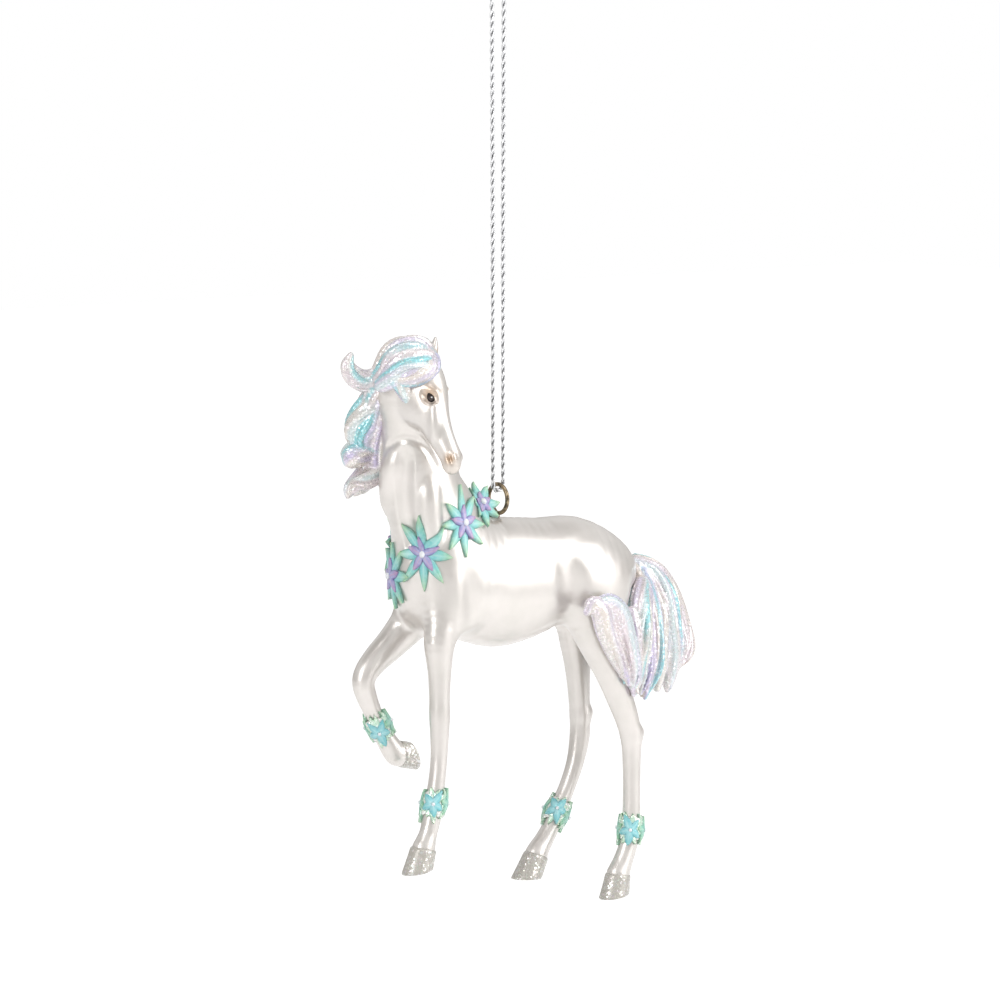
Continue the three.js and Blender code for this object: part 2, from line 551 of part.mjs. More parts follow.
/** The forms that the skin is drawn round, in the order in which they melt together. */
function skinForms() {
  const limb = (stations, fillet) => {
    const spans = limbSpans(stations);
    return { gap: (point) => limbGap(spans, point), fillet };
  };
  const muscles = MUSCLES.flatMap(({ at, half, rise, fillet, hollow }) => [-1, 1].map((side) => {
    const [x, y, z] = sized(at);
    const tilt = THREE.MathUtils.degToRad(rise);
    const muscle = {
      centre: new THREE.Vector3(x, side * y, z),
      half: sized(half),
      axes: [
        new THREE.Vector3(-Math.cos(tilt), 0, Math.sin(tilt)),
        new THREE.Vector3(0, -1, 0),
        new THREE.Vector3(Math.sin(tilt), 0, Math.cos(tilt)),
      ],
    };
    return { gap: (point) => muscleGap(muscle, point), fillet, hollow };
  }));
  return [
    limb(TRUNK.map(sized), 0.5),
    limb(NECK.map(sized), NECK_FILLET),
    ...Object.values(LEGS).map((leg) => limb(legStations(leg), LIMB_FILLET)),
    ...muscles,
    limb(HEAD.map(sized), HEAD_FILLET),
  ];
}

/** How deep a point lies under the skin, negative outside. */
function depthUnderSkin(xyz) {
  point.set(...xyz);
  let gap = FILLET_REACH;
  for (const { gap: gapTo, fillet, hollow } of forms) {
    const near = gapTo(point);
    if (near >= FILLET_REACH) continue;
    const other = hollow ? -near : near;
    const overlap = Math.max(fillet - Math.abs(gap - other), 0) / fillet;
    const round = (overlap * overlap * fillet) / 4;
    gap = hollow ? Math.max(gap, other) + round : Math.min(gap, other) - round;
  }
  return -gap;
}

/** The casting with its skin drawn within a box, swollen by a clearance where a neighbour is cut to it. */
function casting(grow = 0, box = UPPER_FIGURE) {
  const bounds = { min: sized(box.min), max: sized(box.max) };
  const skin = wasm.Manifold.levelSet(depthUnderSkin, bounds, SKIN_STEP, -grow);
  return join([
    skin.simplify(SKIN_TOLERANCE),
    ...Object.values(EARS).map((ear) => loft(ear.map(sized), EAR_SIDES, { grow })),
    ...Object.values(LEGS).flatMap((leg) => [
      loft(legStations(leg).slice(LOWER_LEG_START), LIMB_SIDES, { grow }),
      hoofPeg(leg, grow),
    ]),
  ]);
}

/** Locks of hair joined into one piece. */
const hair = (locks, grow = 0) =>
  join(locks.map((stations) => loft(stations.map(sized), LOCK_SIDES, { grow })));

const point = new THREE.Vector3();
const offset = new THREE.Vector3();
const forms = skinForms();
const nearCoat = casting(GLUE_GAP);
const overCoat = casting(GLUE_GAP + LEAF_THICK, GARLAND_PLACE);
const overLeaves = casting(2 * GLUE_GAP + LEAF_THICK, GARLAND_PLACE);
const overPetals = casting(2 * GLUE_GAP + LEAF_THICK + PETAL_THICK, GARLAND_PLACE);
const nearMane = hair(MANE_LOCKS, GLUE_GAP);

const pieces = [];
const addPiece = (name, solid, material) => pieces.push({ name, solid, material });

// Eye screw: a wire ring whose shank is set in the withers
const ringRadius = (RING_OUTER - WIRE_DIAMETER) / 2;
const ringGeometry = new THREE.TorusGeometry(ringRadius, WIRE_DIAMETER / 2, 8, 28);
ringGeometry.rotateY(Math.PI / 2);
ringGeometry.translate(0, 0, -RING_OUTER / 2);
const shankTop = -RING_OUTER + WIRE_DIAMETER / 2;
const eyeScrew = solidOf(ringGeometry).add(
  rod([0, 0, shankTop], [0, 0, shankTop - SHANK_LENGTH], WIRE_DIAMETER / 2, 8));
const screwHole = rod(
  [0, 0, 0], [0, 0, shankTop - SHANK_LENGTH - GLUE_GAP], WIRE_DIAMETER / 2 + GLUE_GAP, 8);

// Tail peg, set in a socket in the rump
const tailRoot = sized(TAIL_LOCKS[0][0]);
const tailPegEnds = (extra) => [
  [tailRoot[0] + 1, 0, tailRoot[2]],
  [tailRoot[0] - TAIL_PEG_LENGTH - extra, 0, tailRoot[2]],
];
const tailPeg = rod(...tailPegEnds(0), TAIL_PEG_RADIUS);
const tailSocket = rod(...tailPegEnds(GLUE_GAP), TAIL_PEG_RADIUS + GLUE_GAP);

addPiece('horse_body', mainPiece(casting().subtract(screwHole).subtract(tailSocket)), COLOURS.pearl);
addPiece('eye_screw', eyeScrew, COLOURS.bronze);
addPiece('mane', mainPiece(hair(MANE_LOCKS).subtract(nearCoat)), COLOURS.glitterHair);
addPiece('forelock',
  mainPiece(hair(FORELOCK_LOCKS).subtract(nearCoat).subtract(nearMane)),
  COLOURS.glitterHair);
addPiece('tail', mainPiece(hair(TAIL_LOCKS).subtract(nearCoat).add(tailPeg)), COLOURS.glitterHair);

const ankletShape = flowerShape(
  PETAL_COUNT, ANKLET_BLOSSOM_RADIUS, ANKLET_HEART_RADIUS, 0.27, ANKLET_BLOSSOM_SQUEEZE);
for (const [name, leg] of Object.entries(LEGS)) {
  // Hoof: a cap from the coronet to the flat sole, with a socket for the leg's peg
  const stations = legStations(leg);
  const top = new THREE.Vector3(...stations.at(-1).slice(0, 3));
  const sole = soleMiddle(leg);
  const waist = top.clone().add(sole).multiplyScalar(0.5);
  const hoof = loft([
    [...top.toArray(), HOOF_TOP_DEEP, HOOF_TOP_WIDE, FORWARD],
    [...waist.toArray(), (HOOF_TOP_DEEP + SOLE_DEEP) / 2, (HOOF_TOP_WIDE + SOLE_WIDE) / 2, FORWARD],
    [...sole.toArray(), SOLE_DEEP, SOLE_WIDE, FORWARD],
  ], LIMB_SIDES, { planes: [leg.crown, (leg.crown + leg.lean) / 2, leg.lean].map(leanNormal) });
  addPiece(`hoof_${name}`, mainPiece(hoof.subtract(nearCoat)), COLOURS.glitterHoof);

  // Ankle band and its flowers, which follow the leg between two points either side of the cuff
  const centre = new THREE.Vector3(...stations[leg.cuff].slice(0, 3));
  const line = new THREE.CatmullRomCurve3(
    stations.map(([x, y, z]) => new THREE.Vector3(x, y, z)), false, 'catmullrom', 0.5);
  const along = line.getTangent(leg.cuff / (stations.length - 1));
  const [deep, wide] = stations[leg.cuff].slice(3);
  const bandEnd = (side) => [
    ...centre.clone().addScaledVector(along, (side * BAND_HEIGHT) / 2).toArray(),
    deep + GLUE_GAP + BAND_WALL, wide + GLUE_GAP + BAND_WALL, FORWARD,
  ];
  const band = (grow) => loft([bandEnd(-1), bandEnd(1)], LIMB_SIDES, { grow });
  addPiece(`anklet_band_${name}`, mainPiece(band(0).subtract(nearCoat)), COLOURS.silverBand);
  const sleeve = (reach, grow) => loft([bandEnd(-reach), bandEnd(reach)], LIMB_SIDES, { grow });
  const shell = sleeve(2, GLUE_GAP + ANKLET_BLOSSOM_THICK).subtract(sleeve(3, GLUE_GAP));
  for (let k = 0; k < BLOSSOMS_PER_ANKLET; k++) {
    const angle = ((k + 0.5) * 2 * Math.PI) / BLOSSOMS_PER_ANKLET;
    const side = new THREE.Vector3(0, -1, 0);
    const front = new THREE.Vector3().crossVectors(side, along).normalize();
    const out = front.clone().multiplyScalar(Math.cos(angle)).addScaledVector(side, Math.sin(angle));
    const seat = centre.clone().addScaledVector(out, deep).toArray();
    const petals = flowerPrism(ankletShape, seat, out.toArray(), 0).intersect(shell);
    const heartAt = centre.clone().addScaledVector(
      out, deep + 2 * GLUE_GAP + BAND_WALL + ANKLET_BLOSSOM_THICK).toArray();
    addPiece(`anklet_blossom_${name}_${k + 1}`,
      mainPiece(petals.add(bead(heartAt, ANKLET_BEAD_RADIUS))), COLOURS.turquoise);
  }
}

// Garland: each flower's leaves end where a flower that was laid before it lies
const leafShape = (reach) => flowerShape(LEAF_COUNT, reach, reach * 0.3, 0.2, LEAF_SQUEEZE);
const petalShape = flowerShape(PETAL_COUNT, PETAL_REACH, HEART_RADIUS, 0.24, LEAF_SQUEEZE);
const leafPrism = ({ seat, out }, reach) => flowerPrism(leafShape(reach), sized(seat), out);
let taken = nearMane.add(eyeScrewSpace());
GARLAND.forEach((place, k) => {
  const leaves = leafPrism(place, LEAF_REACH).intersect(overCoat).subtract(nearCoat);
  const petals = flowerPrism(petalShape, sized(place.seat), place.out)
    .intersect(overPetals).subtract(overLeaves);
  const clear = (solid) => mainPiece(solid.subtract(taken)).simplify(FLOWER_TOLERANCE);
  addPiece(`garland_leaves_${k + 1}`, clear(leaves), COLOURS.leaf);
  addPiece(`garland_blossom_${k + 1}`, clear(petals), COLOURS.lilac);
  taken = taken.add(leafPrism(place, LEAF_REACH + 3 * GLUE_GAP).intersect(overPetals));
});

// Cord: down from the knot, round the ring's wire and up again
const bendRadius = CORD_DIAMETER / 2 + WIRE_DIAMETER / 2 + CORD_GAP;
const bendHeight = -LOOP_DROP - WIRE_DIAMETER / 2;
// The strands as x and z: close at the knot, then a strand's width apart down to the bend.
const CORD_ROUTE = [
  [-0.5, KNOT_RISE], [-0.85, KNOT_RISE / 2], [-1.1, -1], [-1.15, -0.08 * LOOP_DROP],
  [-1.1, -0.2 * LOOP_DROP], [-1.05, -0.36 * LOOP_DROP], [-1.0, -0.51 * LOOP_DROP],
  [-1.0, -0.67 * LOOP_DROP], [-1.0, -0.82 * LOOP_DROP], [-bendRadius, 4 - LOOP_DROP],
];

const ornament = new THREE.Group();
const horse = new THREE.Group();
horse.position.z = -LOOP_DROP;
ornament.add(horse);
for (const { name, solid, material } of pieces) {
  const mesh = new THREE.Mesh(geometryOf(solid), material);
  mesh.name = name;
  horse.add(mesh);
}

const route = [
  ...CORD_ROUTE,
  ...[180, 210, 240, 270, 300, 330, 360].map((degrees) => {
    const angle = THREE.MathUtils.degToRad(degrees);
    return [bendRadius * Math.cos(angle), bendHeight + bendRadius * Math.sin(angle)];
  }),
  ...CORD_ROUTE.map(([x, z]) => [-x, z]).reverse(),
].map(([x, z]) => new THREE.Vector3(x, 0, z));
const cordSection = new THREE.Shape();
cordSection.absarc(0, 0, CORD_DIAMETER / 2, 0, 2 * Math.PI);
const cordGeometry = new THREE.ExtrudeGeometry(cordSection, {
  steps: 80,
  curveSegments: 4,
  extrudePath: new THREE.CatmullRomCurve3(route, false, 'centripetal'),
});
const cord = new THREE.Mesh(cordGeometry, COLOURS.silverCord);
cord.name = 'cord';
ornament.add(cord);

const knotGeometry = new THREE.SphereGeometry(0.5, 12, 8);
knotGeometry.rotateX(Math.PI / 2);
knotGeometry.scale(KNOT_WIDTH, KNOT_WIDTH * 0.8, KNOT_HEIGHT);
const knot = new THREE.Mesh(knotGeometry, COLOURS.silverCord);
knot.name = 'cord_knot';
knot.position.z = KNOT_RISE + CORD_GAP + KNOT_HEIGHT / 2;
ornament.add(knot);

export default ornament;
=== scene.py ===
"""Looks of the pearl horse ornament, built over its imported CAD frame.

Shapes are worked out in millimetres and turned into metres when a mesh is made. The horse's own
numbers are measured from the top of the eye ring, which lies DROP below the hanging point.
"""

import logging
import math
from collections.abc import Sequence
from dataclasses import dataclass, field
from enum import Enum

import bpy
import numpy as np
import openvdb
from mathutils import Matrix, Vector
from mathutils.bvhtree import BVHTree
from mathutils.kdtree import KDTree


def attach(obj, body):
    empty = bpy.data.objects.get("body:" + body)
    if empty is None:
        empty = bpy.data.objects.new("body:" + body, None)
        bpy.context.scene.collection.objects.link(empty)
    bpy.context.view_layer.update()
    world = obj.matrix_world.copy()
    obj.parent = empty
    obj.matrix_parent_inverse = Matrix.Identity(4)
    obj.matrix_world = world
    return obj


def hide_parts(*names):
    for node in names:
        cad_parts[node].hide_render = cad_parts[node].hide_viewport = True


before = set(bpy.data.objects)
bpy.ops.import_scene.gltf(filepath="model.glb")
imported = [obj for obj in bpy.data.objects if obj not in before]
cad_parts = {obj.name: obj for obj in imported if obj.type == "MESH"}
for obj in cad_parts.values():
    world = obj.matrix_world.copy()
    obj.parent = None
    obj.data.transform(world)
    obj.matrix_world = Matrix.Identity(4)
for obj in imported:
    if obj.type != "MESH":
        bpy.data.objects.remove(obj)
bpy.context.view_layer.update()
log = logging.getLogger("ornament")

MM = 0.001
DROP = 78.0
FORWARD = 180.0
HEAD_TURN = 300.0
Row = tuple[float, ...]
Colour = tuple[float, float, float]


def headed(rows: Sequence[Row], heading: float = FORWARD) -> list[Row]:
    """Stations with a heading added to each that has none."""
    return [row if len(row) == 6 else (*row, heading) for row in rows]


class Body(Enum):
    """The two bodies that move against each other."""

    LOOP = "loop"
    HORSE = "horse"


class Slot(Enum):
    """The record's material slots."""

    PEARL = "pearl_coat"
    HAIR = "glitter_hair"
    HOOF = "glitter_hoof"
    BAND = "silver_band"
    PETAL = "turquoise_petal"
    LEAF = "green_leaf"
    LILAC = "lilac_petal"
    BRONZE = "bronze_wire"
    CORD = "metallic_cord"


class Leg(Enum):
    """The four legs, by the names that their nodes end in."""

    FRONT_LEFT = "front_left"
    FRONT_RIGHT = "front_right"
    HIND_LEFT = "hind_left"
    HIND_RIGHT = "hind_right"


# ---- Mesh and curve work ----


def unit(v: np.ndarray) -> np.ndarray:
    """The vector at length one."""
    return v / max(float(np.linalg.norm(v)), 1e-12)


def spline(rows: Sequence[Row], per_span: int) -> np.ndarray:
    """Rows interpolated smoothly, every column at once.

    Args:
        rows: The rows that the curve passes through.
        per_span: Steps from each row to the next.
    Returns:
        The rows of the finer curve.
    """
    p = np.array(rows, float)
    p = np.vstack([2 * p[0] - p[1], p, 2 * p[-1] - p[-2]])
    out = []
    for i in range(1, len(p) - 2):
        a, b, c, d = p[i - 1], p[i], p[i + 1], p[i + 2]
        for t in np.arange(per_span) / per_span:
            out.append(0.5 * (2 * b + (c - a) * t + (2 * a - 5 * b + 4 * c - d) * t**2
                              + (3 * b - 3 * c + d - a) * t**3))
    out.append(p[-2])
    return np.array(out)


def heading_axes(along: np.ndarray, heading: float) -> tuple[np.ndarray, np.ndarray]:
    """The depth and width directions of a section.

    Args:
        along: Direction of the path.
        heading: Degrees that the depth points to, seen from above.
    Returns:
        Depth and width as unit vectors across the path.
    """
    h = math.radians(heading)
    across = np.array([math.sin(h), -math.cos(h), 0.0])
    across = unit(across - along * float(across @ along))
    return unit(np.cross(across, along)), across


def build_object(name: str, points: np.ndarray, faces: Sequence[Sequence[int]], body: Body,
                 material: bpy.types.Material, node: str | None = None,
                 paint: np.ndarray | None = None) -> bpy.types.Object:
    """Makes a mesh object from points in millimetres, dresses it and hangs it on a body.

    Args:
        name: The piece's name.
        points: Points measured from the top of the eye ring.
        faces: Corner numbers of each face.
        body: The body that the piece rides on.
        material: Its finish in the picture.
        node: The CAD node whose place it takes.
        paint: A colour for each point, kept as the attribute "paint".
    Returns:
        The object.
    """
    moved = (np.asarray(points, float) - [0.0, 0.0, DROP]) * MM
    mesh = bpy.data.meshes.new(name)
    mesh.from_pydata(moved.tolist(), [], [list(map(int, f)) for f in faces])
    mesh.validate()
    if paint is not None:
        layer = mesh.attributes.new("paint", "FLOAT_COLOR", "POINT")
        cover = np.ones((len(mesh.vertices), 4), np.float32)
        cover[:, :3] = np.asarray(paint, np.float32)[: len(mesh.vertices)]
        layer.data.foreach_set("color", cover.ravel())
    mesh.polygons.foreach_set("use_smooth", [True] * len(mesh.polygons))
    mesh.materials.append(material)
    piece = bpy.data.objects.new(name, mesh)
    bpy.context.scene.collection.objects.link(piece)
    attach(piece, body.value)
    if node is not None:
        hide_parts(node)
    return piece


def tube_faces(rings: int, sides: int, closed: bool = False) -> list[list[int]]:
    """Faces between rings of points, each ring joined to the next.

    Args:
        rings: How many rings there are.
        sides: Points of each ring.
        closed: Whether the last ring joins the first, instead of a cap at each end.
    Returns:
        The faces, the two caps last.
    """
    faces = []
    for i in range(rings if closed else rings - 1):
        for k in range(sides):
            a, b = i * sides + k, i * sides + (k + 1) % sides
            c, d = (a + sides) % (rings * sides), (b + sides) % (rings * sides)
            faces.append([a, b, d, c])
    if not closed:
        faces.append(list(range(sides))[::-1])
        faces.append([(rings - 1) * sides + k for k in range(sides)])
    return faces


def turn_outward(points: np.ndarray, faces: list[list[int]]) -> None:
    """Turns every face over if the solid is inside out.

    Args:
        points: The solid's points.
        faces: Corner numbers of each face, turned in place.
    """
    volume = 0.0
    for f in faces:
        for i in range(1, len(f) - 1):
            volume += float(points[f[0]] @ np.cross(points[f[i]], points[f[i + 1]]))
    if volume < 0:
        for f in faces:
            f.reverse()


def sweep(path: np.ndarray, radii: Sequence[float], sides: int,
          closed: bool = False) -> tuple[np.ndarray, list[list[int]]]:
    """A round tube along a path, with frames that don't twist.

    Args:
        path: Centre points.
        radii: A radius for each point.
        sides: Corners round the tube.
        closed: Whether the path runs back into its start.
    Returns:
        Points and faces.
    """
    path = np.asarray(path, float)
    n = len(path)
    if closed:
        tangent = np.roll(path, -1, 0) - np.roll(path, 1, 0)
    else:
        tangent = np.gradient(path, axis=0)
    tangent /= np.linalg.norm(tangent, axis=1, keepdims=True)
    side = unit(np.cross(tangent[0], [0.31, 0.85, 0.43]))
    angles = np.arange(sides) * 2 * math.pi / sides
    points = []
    for i in range(n):
        side = unit(side - tangent[i] * float(side @ tangent[i]))
        other = np.cross(tangent[i], side)
        ring = np.outer(np.cos(angles), side) + np.outer(np.sin(angles), other)
        points.append(path[i] + ring * radii[i])
    return np.vstack(points), tube_faces(n, sides, closed)


def merge(parts: Sequence[tuple[np.ndarray, Sequence[Sequence[int]], Colour | np.ndarray]]
          ) -> tuple[np.ndarray, list[list[int]], np.ndarray]:
    """Several point-face-paint groups as one.

    Args:
        parts: Points, faces and one colour, or a colour for each point, of every group.
    Returns:
        Points, faces and paint of the whole.
    """
    points, faces, paints, base = [], [], [], 0
    for pts, fcs, paint in parts:
        points.append(pts)
        faces.extend([[i + base for i in f] for f in fcs])
        paints.append(np.broadcast_to(np.asarray(paint, float), (len(pts), 3)))
        base += len(pts)
    return np.vstack(points), faces, np.vstack(paints)


def build_group(name: str, parts: Sequence[tuple], body: Body,
                material: bpy.types.Material, node: str) -> bpy.types.Object:
    """Makes one object of point-face-paint groups, as merge and build_object say."""
    points, faces, paint = merge(parts)
    return build_object(name, points, faces, body, material, node, paint)


def going(offsets: Sequence[np.ndarray], way: np.ndarray) -> np.ndarray:
    """How far broadcast offsets go along a direction."""
    x, y, z = offsets
    return x * np.float32(way[0]) + y * np.float32(way[1]) + z * np.float32(way[2])


def oval_gap(parts: Sequence[np.ndarray], halves: Sequence[np.ndarray | np.float32]
             ) -> np.ndarray:
    """About how far cells lie outside an oval.

    Args:
        parts: Offsets along its axes, each over its half size.
        halves: The half sizes.
    Returns:
        Signed distances.
    """
    k1 = np.sqrt(sum(p * p for p in parts))
    k2 = np.sqrt(sum((p / half) ** 2 for p, half in zip(parts, halves)))
    return k1 * (k1 - 1) / (k2 + np.float32(1e-5))


class Clay:
    """A block of signed distances in millimetres, built up by pressing shapes into it."""

    FAR = 4.0
    BAND = 2.0
    THINNEST = 0.2
    MARGIN, STRAND_MARGIN = 1.0, 0.35

    def __init__(self, low: Row, high: Row, step: float) -> None:
        """Sets up an empty block.

        Args:
            low: Its lowest corner.
            high: Its highest corner.
            step: Size of a cell.
        """
        self.low = np.array(low, float)
        self.step = step
        self.count = np.ceil((np.array(high) - self.low) / step).astype(int)
        self.cells = np.full(self.count, self.FAR, np.float32)
        self.lines = [
            (self.low[i] + step * np.arange(self.count[i])).astype(np.float32) for i in range(3)
        ]

    def window(self, low: np.ndarray, high: np.ndarray) -> tuple[slice, slice, slice]:
        """The cells between two corners.

        Args:
            low: The lower corner.
            high: The upper corner.
        Returns:
            A slice of the cells along each axis.
        """
        a = np.clip(np.floor((low - self.low) / self.step).astype(int), 0, self.count)
        b = np.clip(np.ceil((high - self.low) / self.step).astype(int) + 1, 0, self.count)
        return tuple(slice(int(a[i]), int(max(b[i], a[i]))) for i in range(3))

    def offsets(self, cut: tuple[slice, slice, slice], origin: np.ndarray) -> list[np.ndarray]:
        """Coordinates of a window's cells from an origin, ready to broadcast."""
        x, y, z = (self.lines[i][cut[i]] - np.float32(origin[i]) for i in range(3))
        return [x[:, None, None], y[None, :, None], z[None, None, :]]

    def press(self, other: np.ndarray, cut: tuple[slice, slice, slice], soft: float,
              carve: bool) -> None:
        """Joins distances into the block with a fillet, or cuts them out with a rounded edge.

        Args:
            other: The distances.
            cut: The window that they fill.
            soft: Size of the fillet.
            carve: Whether they are cut out.
        """
        mine = self.cells[cut]
        if carve:
            other = -other
        h = np.maximum(soft - np.abs(mine - other), 0) / np.float32(soft)
        fillet = h * h * np.float32(soft / 4)
        self.cells[cut] = (np.maximum(mine, other) + fillet if carve
                           else np.minimum(mine, other) - fillet)

    def limb(self, rows: Sequence[Row], soft: float, per_span: int = 4) -> None:
        """Presses in a limb of oval sections.

        Args:
            rows: Stations x, y, z, half-depth, half-width and heading.
            soft: Size of the fillet where it joins what is there.
            per_span: Finer stations between two given ones.
        """
        fine = spline(rows, per_span)
        reach = soft + self.MARGIN
        big = float(fine[:, 3:5].max()) + reach
        whole = self.window((fine[:, :3] - big).min(0), (fine[:, :3] + big).max(0))
        shape = [s.stop - s.start for s in whole]
        found = np.full(shape, self.FAR, np.float32)
        axes = [heading_axes(unit(tangent), heading)
                for tangent, heading in zip(np.gradient(fine[:, :3], axis=0), fine[:, 5])]
        for a, b, start, end in zip(fine[:-1], fine[1:], axes[:-1], axes[1:]):
            axis = b[:3] - a[:3]
            length = float(np.linalg.norm(axis))
            if length < 1e-6:
                continue
            along = axis / length
            r = max(a[3], a[4], b[3], b[4]) + reach
            cut = self.window(np.minimum(a[:3], b[:3]) - r, np.maximum(a[:3], b[:3]) + r)
            offsets = self.offsets(cut, a[:3])
            s = going(offsets, along)
            t = np.clip(s / np.float32(length), 0, 1)
            u, v = ((1 - t) * (going(offsets, p) - t * np.float32(axis @ p))
                    + t * (going(offsets, q) - t * np.float32(axis @ q))
                    for p, q in zip(start, end))
            s -= t * np.float32(length)
            deep = np.float32(a[3]) + t * np.float32(b[3] - a[3])
            wide = np.float32(a[4]) + t * np.float32(b[4] - a[4])
            cap = np.float32(max(min(a[3], a[4], b[3], b[4]), self.THINNEST))
            near = oval_gap((u / deep, v / wide, s / cap), (deep, wide, cap))
            place = tuple(slice(c.start - w.start, c.stop - w.start) for c, w in zip(cut, whole))
            np.minimum(found[place], near, out=found[place])
        self.press(found, whole, soft, False)

    def blob(self, centre: Row, sizes: Row, turn: float, tilt: float, soft: float,
             carve: bool = False) -> None:
        """Presses in an oval lump.

        Args:
            centre: Its middle.
            sizes: Half its length, width and height.
            turn: Heading of its length in degrees.
            tilt: Degrees that its length rises.
            soft: Size of the fillet.
            carve: Whether the lump is cut out and not added.
        """
        c, e = math.radians(turn), math.radians(tilt)
        ahead = np.array([math.cos(c) * math.cos(e), math.sin(c) * math.cos(e), math.sin(e)])
        left = np.array([-math.sin(c), math.cos(c), 0.0])
        up = np.cross(ahead, left)
        r = max(sizes) + soft + self.MARGIN
        middle = np.array(centre, float)
        cut = self.window(middle - r, middle + r)
        offsets = self.offsets(cut, middle)
        halves = [np.float32(size) for size in sizes]
        parts = [going(offsets, d) / half for d, half in zip((ahead, left, up), halves)]
        self.press(oval_gap(parts, halves), cut, soft, carve)

    def strand(self, line: np.ndarray, radii: np.ndarray, soft: float,
               carve: bool = False) -> None:
        """Presses in a round strand along a fine line, or cuts it out as a groove.

        Args:
            line: Its points.
            radii: A radius for each point.
            soft: Size of the fillet.
            carve: Whether it is cut out.
        """
        for a, b, ra, rb in zip(line[:-1], line[1:], radii[:-1], radii[1:]):
            axis = b - a
            square = float(axis @ axis)
            if square < 1e-9:
                continue
            r = max(ra, rb) + soft + self.STRAND_MARGIN
            cut = self.window(np.minimum(a, b) - r, np.maximum(a, b) + r)
            offsets = self.offsets(cut, a)
            t = np.clip(going(offsets, axis) / np.float32(square), 0, 1)
            gap = np.sqrt(sum((o - t * np.float32(d)) ** 2 for o, d in zip(offsets, axis)))
            gap -= np.float32(ra) + t * np.float32(rb - ra)
            self.press(gap, cut, soft, carve)

    def skin(self) -> tuple[np.ndarray, np.ndarray]:
        """The surface of the block, smoothed once.

        Returns:
            Points in millimetres and four-cornered faces.
        """
        grid = openvdb.FloatGrid(self.FAR)
        grid.copyFromArray(np.clip(self.cells, -self.BAND, self.BAND))
        points, quads = grid.convertToQuads(isovalue=0.0)
        quads = quads[:, ::-1].astype(int)
        points = points.astype(float)
        neighbour = np.zeros_like(points)
        count = np.zeros(len(points))
        for i in range(4):
            a, b = quads[:, i], quads[:, (i + 1) % 4]
            np.add.at(neighbour, a, points[b])
            np.add.at(count, a, 1)
        points = 0.5 * points + 0.5 * neighbour / np.maximum(count, 1)[:, None]
        return points * self.step + self.low, quads


# ---- Finishes ----


class Nodes:
    """A node tree, with short ways to add and join nodes."""

    def __init__(self, tree: bpy.types.NodeTree) -> None:
        """Takes the tree that the nodes go into."""
        self.tree = tree

    def node(self, kind: str, links: dict | None = None, **settings: object) -> bpy.types.Node:
        """Adds a node.

        Args:
            kind: The node's type name without "ShaderNode".
            links: Inputs by name or number, as an output socket or a value.
            settings: Attributes of the node.
        Returns:
            The node.
        """
        made = self.tree.nodes.new("ShaderNode" + kind)
        for key, value in settings.items():
            setattr(made, key, value)
        for key, value in (links or {}).items():
            self.feed(made.inputs[key], value)
        return made

    def feed(self, socket: bpy.types.NodeSocket, value: object) -> None:
        """Links an output to an input, or sets the input's value.

        Args:
            socket: The input.
            value: An output to link or a value to set.
        """
        if isinstance(value, bpy.types.NodeSocket):
            self.tree.links.new(value, socket)
        else:
            socket.default_value = value

    def mix(self, share: object, a: object, b: object, kind: str = "MIX") -> bpy.types.NodeSocket:
        """Two colours mixed.

        Args:
            share: 0 for the first colour, 1 for the second.
            a: The first colour.
            b: The second colour.
            kind: How they blend.
        Returns:
            The mixed colour.
        """
        made = self.node("Mix", data_type="RGBA", blend_type=kind)
        self.feed(made.inputs["Factor"], share)
        self.feed(made.inputs[6], a)
        self.feed(made.inputs[7], b)
        return made.outputs[2]

    def span(self, value: bpy.types.NodeSocket, low: float, high: float, to_low: float,
             to_high: float) -> bpy.types.NodeSocket:
        """A value taken from one range to another, held at its ends."""
        return self.node("MapRange", {"Value": value, "From Min": low, "From Max": high,
                                      "To Min": to_low, "To Max": to_high}).outputs["Result"]

    def looking_rays(self) -> bpy.types.NodeSocket:
        """Tells the rays that show the background from those that light.

        Returns:
            1 for camera, glossy and transmission rays, or else 0.
        """
        rays = self.node("LightPath")
        total = rays.outputs["Is Camera Ray"]
        for name in ("Is Glossy Ray", "Is Transmission Ray"):
            total = self.node("Math", {0: total, 1: rays.outputs[name]}, operation="ADD",
                              use_clamp=True).outputs[0]
        return total


